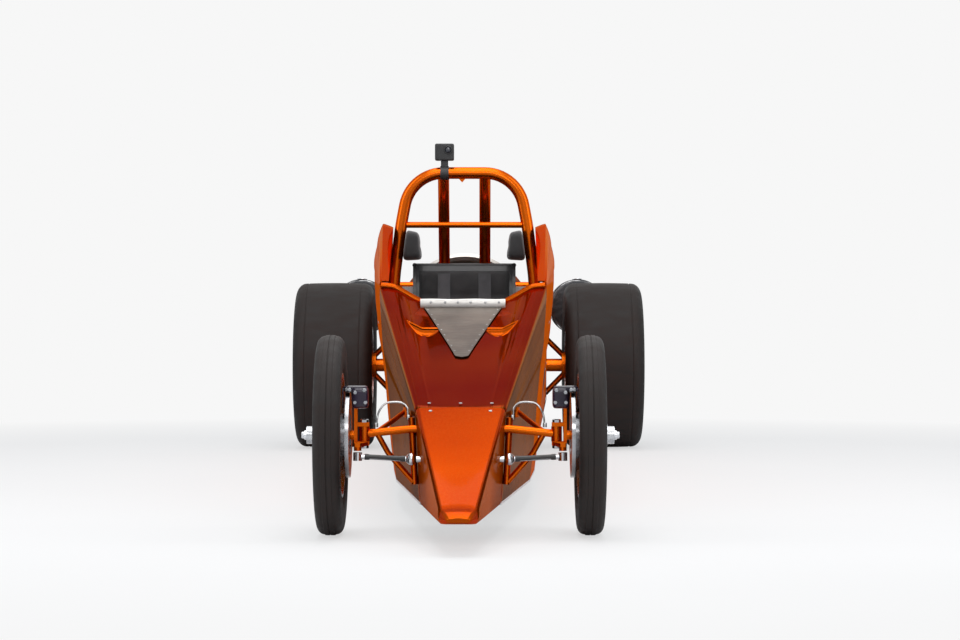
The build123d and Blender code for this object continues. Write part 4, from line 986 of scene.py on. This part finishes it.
# %% Kingpin nuts, tie rod sleeves and brake pipes
PIPE_ROUTE = ((0.268, 0.010, 0.342), (0.262, 0.022, 0.385), (0.243, 0.028, 0.414), (0.215, 0.030, 0.421),
              (0.186, 0.031, 0.418), (0.170, 0.030, 0.402), (0.168, 0.028, 0.384), (0.166, 0.026, 0.366))
HUB_CAP = [(0.0, 0.0), (0.0, 0.015), (0.006, 0.015), (0.009, 0.011), (0.0145, 0.0105), (0.016, 0.009), (0.016, 0.0)]
for word, side in SIDES.items():
    studs("kingpin_nuts_" + word, hexagon(0.024, 0.010), [(side * 0.305, front_y, z) for z in (0.3580, 0.2852)],
          [(0, 0, 1), (0, 0, -1)], chrome, "knuckle_" + word)
    t = np.linspace(0, 1, 24)
    path = np.stack([side * (0.172 + 0.128 * t), np.full(24, RACK_Y), 0.2477 + 0.0065 * t], -1)
    sleeve = tube("tie_rod_sleeve_" + word, path, 0.0083 + 0.0012 * ((t < 0.10) | (t > 0.90)), 16)
    finish_piece(sleeve, black_coat, "steering_link", sharp=40)
    ball = (side * 0.153, RACK_Y, RACK_Z) + swollen(1.0, 25, 32) * (0.0172, 0.0192, 0.0192)
    ball = outward(grid_piece("rod_end_ball_" + word, ball, wrap_columns=True), 1e-6)
    finish_piece(ball, chrome, "steering_link")
    route = [(side * x, front_y + y, z) for x, y, z in PIPE_ROUTE]
    finish_piece(tube("brake_pipe_" + word, smooth_path(route, 60), 0.0032, 10), bolt_metal)
    studs("brake_pipe_unions_" + word, hexagon(0.011, 0.014), [route[0], route[-1]], (0, 0, 1), bolt_metal)
    cap = turned("hub_cap_" + word, HUB_CAP, (side * 0.4885, front_y, front_hub_z), (side, 0, 0), 32)
    finish_piece(cap, chrome, "front_wheel_" + word)
print("suspension hardware ready")

# %% [markdown]
# ### Roll hoop hardware
# A small tab is welded under the hoop's top bar, three clamp bands sit on each stay, and the action camera
# stands on a clamp round the bar. The camera is a soft-cornered case with a raised lens ring.

# %% Hoop tab, stay bands and camera
hoop_y = front_y + 1.670
HOOP_TOP = 1.2315
CAMERA_X = -0.075
TAB_CORNERS = ((-0.021, 1.2105), (0.005, 1.2105), (-0.008, 1.1955))
LENS_RING = [(0.0, 0.0150), (0.002, 0.0165), (0.0055, 0.0160), (0.0060, 0.0125), (0.0, 0.0120)]
LENS = [(0.001, 0.0), (0.001, 0.0122), (0.0030, 0.0100), (0.0044, 0.0060), (0.0050, 0.0)]


def band_profile(half, inner, outer):
    """Square section of a band round a tube: half its width, and its two radii."""
    return [(-half, inner), (-half, outer), (half, outer), (half, inner)]


tab = shut("hoop_tab", np.array([[(x, hoop_y + step, z) for x, z in TAB_CORNERS] for step in (-0.003, 0.003)]))
finish_piece(tab, frame_orange_painted_highlight)
stay_top = np.array([0.079, hoop_y, HOOP_TOP])
stay_way = unit(np.array([0.079, front_y + 1.980, 0.800]) - stay_top)
for word, side in SIDES.items():
    mirror = np.array([side, 1, 1])
    bands = [turned("stay_band", band_profile(0.005, 0.0180, 0.0246), (stay_top + stay_way * distance) * mirror,
                    stay_way * mirror, 40) for distance in (0.046, 0.072, 0.098)]
    finish_piece(joined("stay_bands_" + word, bands), bolt_metal, sharp=50)

clamp_at = np.array([CAMERA_X, hoop_y, HOOP_TOP])
case = soft_box("camera_case", clamp_at + (-0.0365, -0.024, 0.0470), clamp_at + (0.0365, 0.021, 0.1115), 0.16)
foot = soft_box("camera_foot", clamp_at + (-0.014, -0.012, 0.0165), clamp_at + (0.014, 0.012, 0.0515), 0.3, 21, 32)
clamp = turned("camera_clamp", band_profile(0.016, 0.0226, 0.0268), clamp_at, (1, 0, 0), 48)
whole = joined("action_camera_case", [case, foot, clamp])
finish_piece(whole, black_plastic, replaced=["action_camera"], sharp=45)
lens_at = clamp_at + (0.014, -0.0235, 0.0875)
finish_piece(turned("action_camera_lens_ring", LENS_RING, lens_at, (0, -1, 0), 40), black_coat)
graph = Graph("lens_glass")
haze = graph.tones(graph.noise(300.0), (0.006, 0.008, 0.016), (0.012, 0.016, 0.030))
glass = graph.finish({"Base Color": haze, "Roughness": 0.04, "Coat Weight": 1.0})
finish_piece(turned("action_camera_lens", LENS, lens_at, (0, -1, 0), 40), glass)
print("hoop hardware ready")

# %% [markdown]
# ## Cockpit
# The seat is a carbon bucket with thin sewn pads. A pad is a closed cushion: its two faces bow apart in the
# middle and meet at a seam, and sewn channels pull the face down in straight lines. Thin racing pads are
# shaped directly, because a cloth solver would erase channels this narrow.

# %% Cushions
def cushion(name, origin, along, out, length, width, loft, channels, count=61):
    """Closed pad: face height = loft * edge * (1 - dips), with edge = ((1 - |u|^8)(1 - |v|^8))^0.5."""
    u = np.linspace(-1, 1, count)[:, None]
    v = u.T
    edge = np.sqrt(np.clip((1 - np.abs(u) ** 8) * (1 - np.abs(v) ** 8), 0, 1))
    dips = sum(np.exp(-((u - place) / 0.022) ** 2) for place in channels)
    crumple = 0.0006 * np.sin(19 * u + 3 * v) * np.sin(13 * v + 2 * u)
    a = u * length / 2 * (1 - 0.015 * (1 - u ** 2) * np.abs(v) ** 6)
    b = v * width / 2 * (1 - 0.015 * (1 - v ** 2) * np.abs(u) ** 6)
    place = np.asarray(origin) + a[..., None] * np.asarray(along) + b[..., None] * (1, 0, 0)
    points = [place + height[..., None] * np.asarray(out)
              for height in (edge * (loft * (1 - 0.55 * dips) + crumple), -0.0015 * edge)]
    faces = np.concatenate([grid_faces(count, count), grid_faces(count, count, start=count ** 2)])
    piece = finish_piece(outward(mesh_piece(name, points, faces), merge=2e-5), pad_cloth, sharp=80)


back_foot = np.array([0.0, front_y + 1.594, 0.150])
back_way = unit(np.array([0.0, front_y + 1.776, 0.900]) - back_foot)
back_out = np.array([0.0, -back_way[2], back_way[1]])
cushion("seat_back_pad", back_foot + back_way * 0.43 + back_out * 0.003, back_way, back_out, 0.60, 0.345, 0.013,
        (-0.72, -0.44, -0.16, 0.12, 0.40, 0.68))
cushion("seat_base_pad", (0.0, front_y + 1.440, 0.1535), (0, 1, 0), (0, 0, 1), 0.250, 0.345, 0.016,
        (-0.4, 0.0, 0.4))
corners = [(x, front_y + s, 0.881) for x, s in ((-0.19, 1.702), (-0.19, 1.784), (0.19, 1.784), (0.19, 1.702))]
finish_piece(tube("seat_edge_trim", straight_runs(corners, 7), 0.0085, 14), black_plastic, sharp=60)
print("seat pads and trim ready")

# %% Head pads: soft blocks bent onto the measured pads' corners
PAD_CORNERS = np.array([(0.2345, 0.898), (0.2195, 1.014), (0.172, 1.004), (0.160, 0.902)])
u, w, v = np.moveaxis(swollen(0.36, 61, 80), -1, 0)
signs = ((1, -1), (1, 1), (-1, 1), (-1, -1))
blend = sum(((1 + a * u) * (1 + b * v))[..., None] * corner for (a, b), corner in zip(signs, PAD_CORNERS)) / 4
seam = 0.0022 * np.exp(-(v / 0.035) ** 2) * (1 - np.abs(w) ** 6)
folds = 0.0012 * np.sin(21 * w + 4 * v) * np.sin(9 * v) * (1 - np.abs(u))
x = blend[..., 0] + (seam + folds) * (u < 0)
for word, side in SIDES.items():
    grid = np.stack([side * x, hoop_y - 0.005 + w * 0.093, blend[..., 1]], axis=-1)
    pad = grid_piece("head_pad_" + word, grid, wrap_columns=True)
    finish_piece(outward(pad, 1e-6), pad_cloth, replaced=["head_pads"], sharp=80)
print("head pads ready")

# %% [markdown]
# ### Harness
# Racing harness webbing is nearly 50 mm wide and stiff, so it lies in flat bands with thick woven edges. Each
# band is a strip carried along a path, and the buckle is a turned disc with a lever.

# %% Harness straps and buckle
def strap(name, path, across, width, thickness=0.0028, columns=11):
    """Flat band along a path: rows of points across it, thicker near both edges where the weave is bound."""
    path, across = np.asarray(path, float)[:, None], np.asarray(across, float)
    up = unit(np.cross(unit(np.gradient(path[:, 0], axis=0)), across))[:, None]
    v = np.linspace(-1, 1, columns)[:, None]
    middle = path + v * across * width / 2
    bound = up * (thickness / 2 * (0.8 + 0.35 * np.abs(v) ** 6))
    rings = np.concatenate([middle + bound, (middle - bound)[:, ::-1]], axis=1)
    return finish_piece(shut(name, rings), belt_web, sharp=50)


BACK_ROUTE = ((0.715, 0, 0.078), (0.60, 0, 0.078), (0.42, 0.001, 0.076), (0.25, 0.004, 0.070), (0.12, 0.016, 0.056))
LAP_ROUTE = ((0.178, 1.560, 0.200), (0.150, 1.545, 0.178), (0.100, 1.528, 0.180), (0.040, 1.520, 0.187))
BUCKLE = [(0.0, 0.0), (0.0, 0.040), (0.006, 0.042), (0.013, 0.040), (0.016, 0.034), (0.0165, 0.012),
          (0.020, 0.010), (0.020, 0.0)]
buckle_at = np.array([0.0, front_y + 1.520, 0.185])
for word, side in SIDES.items():
    path = [back_foot + back_way * d + back_out * (0.021 + lift) + (side * x, 0, 0) for d, lift, x in BACK_ROUTE]
    path.append(buckle_at + (side * 0.034, 0.030, 0.004))
    strap("shoulder_strap_" + word, smooth_path(path, 60), (1, 0, 0), 0.048)
    lap = [(side * x, front_y + s, z) for x, s, z in LAP_ROUTE]
    strap("lap_strap_" + word, smooth_path(lap, 40), (0, 1, 0), 0.046)
    adjuster = soft_box("shoulder_adjuster_" + word, (side * 0.076 - 0.030, front_y + 1.662, 0.5060),
                        (side * 0.076 + 0.030, front_y + 1.668, 0.5360), 0.3, 17, 24)
    finish_piece(adjuster, chrome)
buckle = turned("harness_buckle", BUCKLE, buckle_at, (0, 0, 1), 48)
finish_piece(buckle, black_coat, replaced=["seat_belts"], sharp=30)
lever = soft_box("buckle_lever", buckle_at + (-0.034, -0.009, 0.0165), buckle_at + (0.034, 0.009, 0.0225),
                 0.4, 17, 24)
finish_piece(lever, chrome)
print("harness ready")

# %% [markdown]
# ### Steering wheel and dash
# The wheel is a butterfly of two wire loops. Each outer half is wrapped in ribbed grip tape, which is a tube
# whose radius rises and falls along its path. The dials on the dash have plain marks and no lettering.

# %% Wheel grips, hub, dials and pedal pads
COLUMN_ANGLE = math.radians(20)
GRIP_ROUTE = ((0.080, -0.0695), (0.126, -0.0610), (0.1395, 0.0), (0.126, 0.0610), (0.080, 0.0695))
HUB_COVER = [(0.0125, 0.0), (0.0125, 0.036), (0.016, 0.035), (0.019, 0.030), (0.0195, 0.014), (0.023, 0.012),
             (0.024, 0.0)]
BEZEL = [(0.0, 0.043), (0.008, 0.043), (0.012, 0.040), (0.012, 0.037), (0.004, 0.036), (0.0, 0.036)]
DIAL_FACE = [(0.0, 0.0), (0.0, 0.0365), (0.004, 0.0365), (0.004, 0.0)]
NEEDLE_ANGLE = -1.9
wheel_centre = np.array([0.0, front_y + 1.290, 0.640])
wheel_way = np.array([0.0, math.cos(COLUMN_ANGLE), math.sin(COLUMN_ANGLE)])
wheel_down = np.array([0.0, math.sin(COLUMN_ANGLE), -math.cos(COLUMN_ANGLE)])
for word, side in SIDES.items():
    path = smooth_path([wheel_centre + (side * a, 0, 0) + wheel_down * b for a, b in GRIP_ROUTE], 90)
    grip = tube("wheel_grip_" + word, path, 0.0128 + 0.0006 * np.sin(np.linspace(0, 60 * np.pi, 90)), 20)
    finish_piece(grip, black_plastic, "hand_wheel", sharp=60)
finish_piece(turned("wheel_hub_cover", HUB_COVER, wheel_centre, wheel_way, 48), bolt_metal, "hand_wheel")
turn = np.linspace(0, 2 * np.pi, 6, endpoint=False)[:, None]
spots = wheel_centre + wheel_way * 0.0175 + 0.024 * (np.cos(turn) * (1, 0, 0) + np.sin(turn) * wheel_down)
studs("wheel_hub_bolts", hexagon(0.0080, 0.004), spots, wheel_way, chrome, "hand_wheel")

graph = Graph("dial_face")
matt_black = graph.tones(graph.noise(400.0), (0.010, 0.010, 0.011), (0.022, 0.022, 0.024))
dial_face = graph.finish({"Base Color": matt_black, "Roughness": 0.6})
for word, side in SIDES.items():
    middle = np.array([side * 0.085, front_y + 1.070, 0.656])
    finish_piece(turned("dial_bezel_" + word, BEZEL, middle, (0, 1, 0), 64), chrome)
    finish_piece(turned("dial_face_" + word, DIAL_FACE, middle, (0, 1, 0), 48), dial_face)
    angles = np.radians(np.linspace(-130, 130, 14))
    marks = middle + np.stack([0.031 * np.sin(angles), np.full(14, 0.0041), 0.031 * np.cos(angles)], -1)
    studs("dial_marks_" + word, hexagon(0.0032, 0.0004), marks, (0, 1, 0), band_metal, sharp=35)
    tip = middle + (0.021 * math.sin(NEEDLE_ANGLE), 0.0062, 0.021 * math.cos(NEEDLE_ANGLE))
    path = np.linspace(middle + (0, 0.0062, 0), tip, 8)
    finish_piece(tube("dial_needle_" + word, path, np.linspace(0.0018, 0.0006, 8), 8), frame_orange_painted_highlight)
for word, side in SIDES.items():
    pads = [soft_box("pedal_pad", (side * 0.061 - 0.029, front_y + 0.494, 0.224),
                     (side * 0.061 + 0.029, front_y + 0.4985, 0.326), 0.25, 17, 24)]
    pads += [soft_box("pedal_rib", (side * 0.061 - 0.025, front_y + 0.4970, z - 0.0022),
                      (side * 0.061 + 0.025, front_y + 0.5005, z + 0.0022), 0.4, 9, 16)
             for z in np.linspace(0.236, 0.314, 7)]
    finish_piece(joined("pedal_pad_" + word, pads), black_plastic, sharp=50)
print("wheel, dials and pedal pads ready")

# %% [markdown]
# ## Engine
# The casing's flanges are pulled together by rings of small bolts. A fuel manifold rings the burner section
# and feeds it through short pipes, and service pipes run back along the casing.

# %% Engine bolts, manifold and pipes
MANIFOLD_RADIUS = 0.2545
FLANGE_BOLTS = {
    # station, radius, how many, facing
    "casing_bolts": ((2.8895, 0.2445, 36, -1), (2.9205, 0.2450, 36, 1), (3.4295, 0.2460, 36, -1),
                     (3.4605, 0.2440, 36, 1)),
    "pipe_flange_bolts": ((3.8795, 0.2165, 28, -1), (3.9205, 0.2145, 28, 1), (5.4295, 0.2075, 28, -1),
                          (5.4705, 0.2090, 28, 1)),
}
SERVICE_RUNS = (
    # degrees from the top, first and last station
    (38, 2.340, 2.870), (46, 2.340, 2.870), (-42, 2.340, 2.870), (52, 3.160, 3.405), (-36, 3.160, 3.405),
    (-44, 3.480, 3.860),
)


def engine_point(s, radius, degrees):
    """Point on the engine at a station, a distance from its centre line and an angle from straight up."""
    turn, s = np.broadcast_arrays(np.radians(degrees), s)
    return np.stack([radius * np.sin(turn), front_y + s, engine_z + radius * np.cos(turn)], -1)


for name, rings in FLANGE_BOLTS.items():
    spots = [engine_point(s, radius, np.arange(count) * 360 / count + 4) for s, radius, count, _ in rings]
    ways = [(0, facing, 0) for _, _, count, facing in rings for _ in range(count)]
    studs(name, hexagon(0.0090, 0.006), np.concatenate(spots), ways, bolt_metal)
loop = engine_point(3.050, MANIFOLD_RADIUS, np.linspace(0, 360, 97))
finish_piece(tube("fuel_manifold", loop, 0.0055, 12, up=(0, 1, 0)), bolt_metal)
around = np.arange(12) * 30 + 15
feed_route = ((3.050, MANIFOLD_RADIUS), (3.095, MANIFOLD_RADIUS), (3.100, 0.2405))
feeds = [tube("feed", smooth_path([engine_point(s, radius, degrees) for s, radius in feed_route], 14), 0.0038, 10)
         for degrees in around]
finish_piece(joined("fuel_feeds", feeds), bolt_metal)
outwards = np.stack([np.sin(np.radians(around)), np.zeros(12), np.cos(np.radians(around))], -1)
studs("fuel_feed_nuts", hexagon(0.014, 0.008), engine_point(3.098, 0.2395, around), outwards, chrome)
service = []
for degrees, first, last in SERVICE_RUNS:
    s = np.linspace(first, last, 40)
    lift = 0.010 * np.sin(np.linspace(0, np.pi, 40)) ** 0.3
    base = np.interp(s, (2.32, 2.88, 2.93, 3.42, 3.47, 3.876), (0.240, 0.228, 0.240, 0.240, 0.236, 0.212))
    service.append(tube("service_pipe", engine_point(s, base + lift - 0.002, degrees), 0.0048, 10))
finish_piece(joined("service_pipes", service), plate_metal)
print("engine details ready")

# %% [markdown]
# ## Parachute packs
# Each pack is a stuffed nylon drum. It starts a little small and is inflated by the cloth solver with gravity
# off, and the distance a point may move is capped so the drum keeps its size. Seams and straps come after.

# %% Soft packs with their straps
def get_points(piece):
    """All of a mesh's points as one array."""
    return np.array([vertex.co for vertex in piece.data.vertices])


def swelled(piece, voxel, cap, pressure=4.0, frames=20):
    """Remeshes a closed piece evenly, inflates it as cloth, caps each point's move and smooths it once."""
    remesh = piece.modifiers.new("remesh", "REMESH")
    remesh.mode, remesh.voxel_size = "VOXEL", voxel
    apply_all(piece)
    before = get_points(piece)
    cloth = piece.modifiers.new("cloth", "CLOTH")
    cloth.settings.use_pressure = True
    cloth.settings.uniform_pressure_force = pressure
    cloth.settings.effector_weights.gravity = 0.0
    for number in range(1, frames + 1):
        bpy.context.scene.frame_set(number)
    solved = piece.evaluated_get(bpy.context.evaluated_depsgraph_get()).to_mesh()
    move = np.array([vertex.co for vertex in solved.vertices]) - before
    reach = np.linalg.norm(move, axis=1, keepdims=True)
    piece.modifiers.remove(cloth)
    bpy.context.scene.frame_set(1)
    after = before + move * np.minimum(1.0, cap / np.maximum(reach, 1e-9))
    piece.data.vertices.foreach_set("co", after.ravel())
    smoother = piece.modifiers.new("smoother", "SUBSURF")
    smoother.levels = smoother.render_levels = 1
    return apply_all(piece)


def gathered(points, centre, side):
    """Lengthwise folds, a pinch under each strap and sewn seams at the ends, kept off the bracket."""
    offset = points - centre
    radius = np.hypot(offset[:, 0], offset[:, 2])
    angle = np.arctan2(offset[:, 0], offset[:, 2])
    along = offset[:, 1] / PACK_HALF
    folds = 0.0016 * np.sin(17 * angle + 2 * along) * (0.4 + along ** 2)
    pinch = sum(0.006 * np.exp(-((along - place) / 0.085) ** 2) for place in STRAP_PLACES)
    seam = sum(0.0030 * np.exp(-((along - place) / 0.02) ** 2) for place in (-0.84, 0.84))
    target = np.minimum(radius + folds - pinch + seam, PACK_RADIUS + 0.003)
    scale = np.where(radius > 0.06, target / np.maximum(radius, 1e-6), 1.0)
    return off_bracket(centre + offset * np.stack([scale, np.ones_like(scale), scale], -1), side)


def off_bracket(points, side):
    """Points kept outside the plane where the pack lies against its bracket."""
    points[:, 0] = side * np.maximum(side * points[:, 0], PACK_X - PACK_RADIUS + 0.0005)
    return points


pack_low, pack_high = (np.array(corner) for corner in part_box("parachute_packs"))
PACK_X = 0.575
STRAP_PLACES = (-0.5, 0.5)
_, PACK_HALF, PACK_RADIUS = (pack_high - pack_low) / 2
half, small = PACK_HALF - 0.010, PACK_RADIUS - 0.010
DRUM_END = [(-half, 0.0), (-half, small * 0.70), (-half + 0.012, small * 0.90), (-half + 0.040, small)]
for word, side in SIDES.items():
    centre = np.array([side * PACK_X, *((pack_low + pack_high) / 2)[1:]])
    profile = DRUM_END + [(-a, r) for a, r in DRUM_END[::-1]]
    drum = swelled(turned("parachute_pack_" + word, profile, centre, (0, 1, 0), 96), 0.0065, 0.010)
    drum.data.vertices.foreach_set("co", gathered(get_points(drum), centre, side).ravel())
    drum.data.update()
    finish_piece(drum, pack_cloth, replaced=["parachute_packs"], sharp=80)
    turn = np.linspace(0, 2 * np.pi, 97)
    loop = centre + (PACK_RADIUS - 0.0042) * np.stack([np.sin(turn), 0 * turn, np.cos(turn)], -1)
    bands = [strap("pack_strap", off_bracket(loop + (0, place * PACK_HALF, 0), side), (0, 1, 0), 0.040)
             for place in STRAP_PLACES]
    finish_piece(joined("pack_straps_" + word, bands), belt_web, sharp=50)
    tops = [centre + (0, place * PACK_HALF, PACK_RADIUS - 0.0035) for place in STRAP_PLACES]
    buckles = [soft_box("pack_buckle", top - (0.022, 0.025, 0), top + (0.022, 0.025, 0.0055), 0.3, 13, 20)
               for top in tops]
    finish_piece(joined("pack_buckles_" + word, buckles), chrome)
print("packs ready")

# %% [markdown]
# ## Roll hoop
# The hoop is one steel tube with two large bends. Its path is a run of straight lines whose corners are
# replaced by arcs that touch both neighbours, so each bend has the radius a tube bender would give it.

# %% Hoop with its bends
def arced(corners, radii, steps=14):
    """Path through corners, each rounded by an arc of the given radius that touches both neighbours."""
    path = [corners[0]]
    for before, here, after, radius in zip(corners, corners[1:], corners[2:], radii):
        a, b = unit(before - here), unit(after - here)
        half_angle = math.acos(float(np.clip(a @ b, -1, 1))) / 2
        centre = here + unit(a + b) * radius / math.sin(half_angle)
        start, end = (here + way * radius / math.tan(half_angle) - centre for way in (a, b))
        sweep = math.acos(float(np.clip(start @ end / radius ** 2, -1, 1)))
        path += [centre + (math.sin((1 - t) * sweep) * start + math.sin(t * sweep) * end) / math.sin(sweep)
                 for t in np.linspace(0, 1, steps)]
    return np.array(path + [corners[-1]])


hoop_low, hoop_high = (np.array(corner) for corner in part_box("roll_hoop"))
HOOP_SIDE = ((0.268, hoop_low[2] + 0.0005), (0.264, 0.850), (0.240, 1.034), (0.203, HOOP_TOP))
HOOP_RADIUS = hoop_high[2] - HOOP_TOP
corners = [(-x, hoop_y, z) for x, z in HOOP_SIDE] + [(x, hoop_y, z) for x, z in HOOP_SIDE[::-1]]
hoop_path = arced(np.array(corners), (0.6, 0.9, 0.150, 0.150, 0.9, 0.6))
hoop = tube("roll_hoop_tube", hoop_path, HOOP_RADIUS, 36, up=(0, 1, 0))
finish_piece(hoop, frame_orange_painted_highlight, replaced=["roll_hoop"], sharp=40)
print("hoop tube radius", round(HOOP_RADIUS * 1000, 1), "mm")
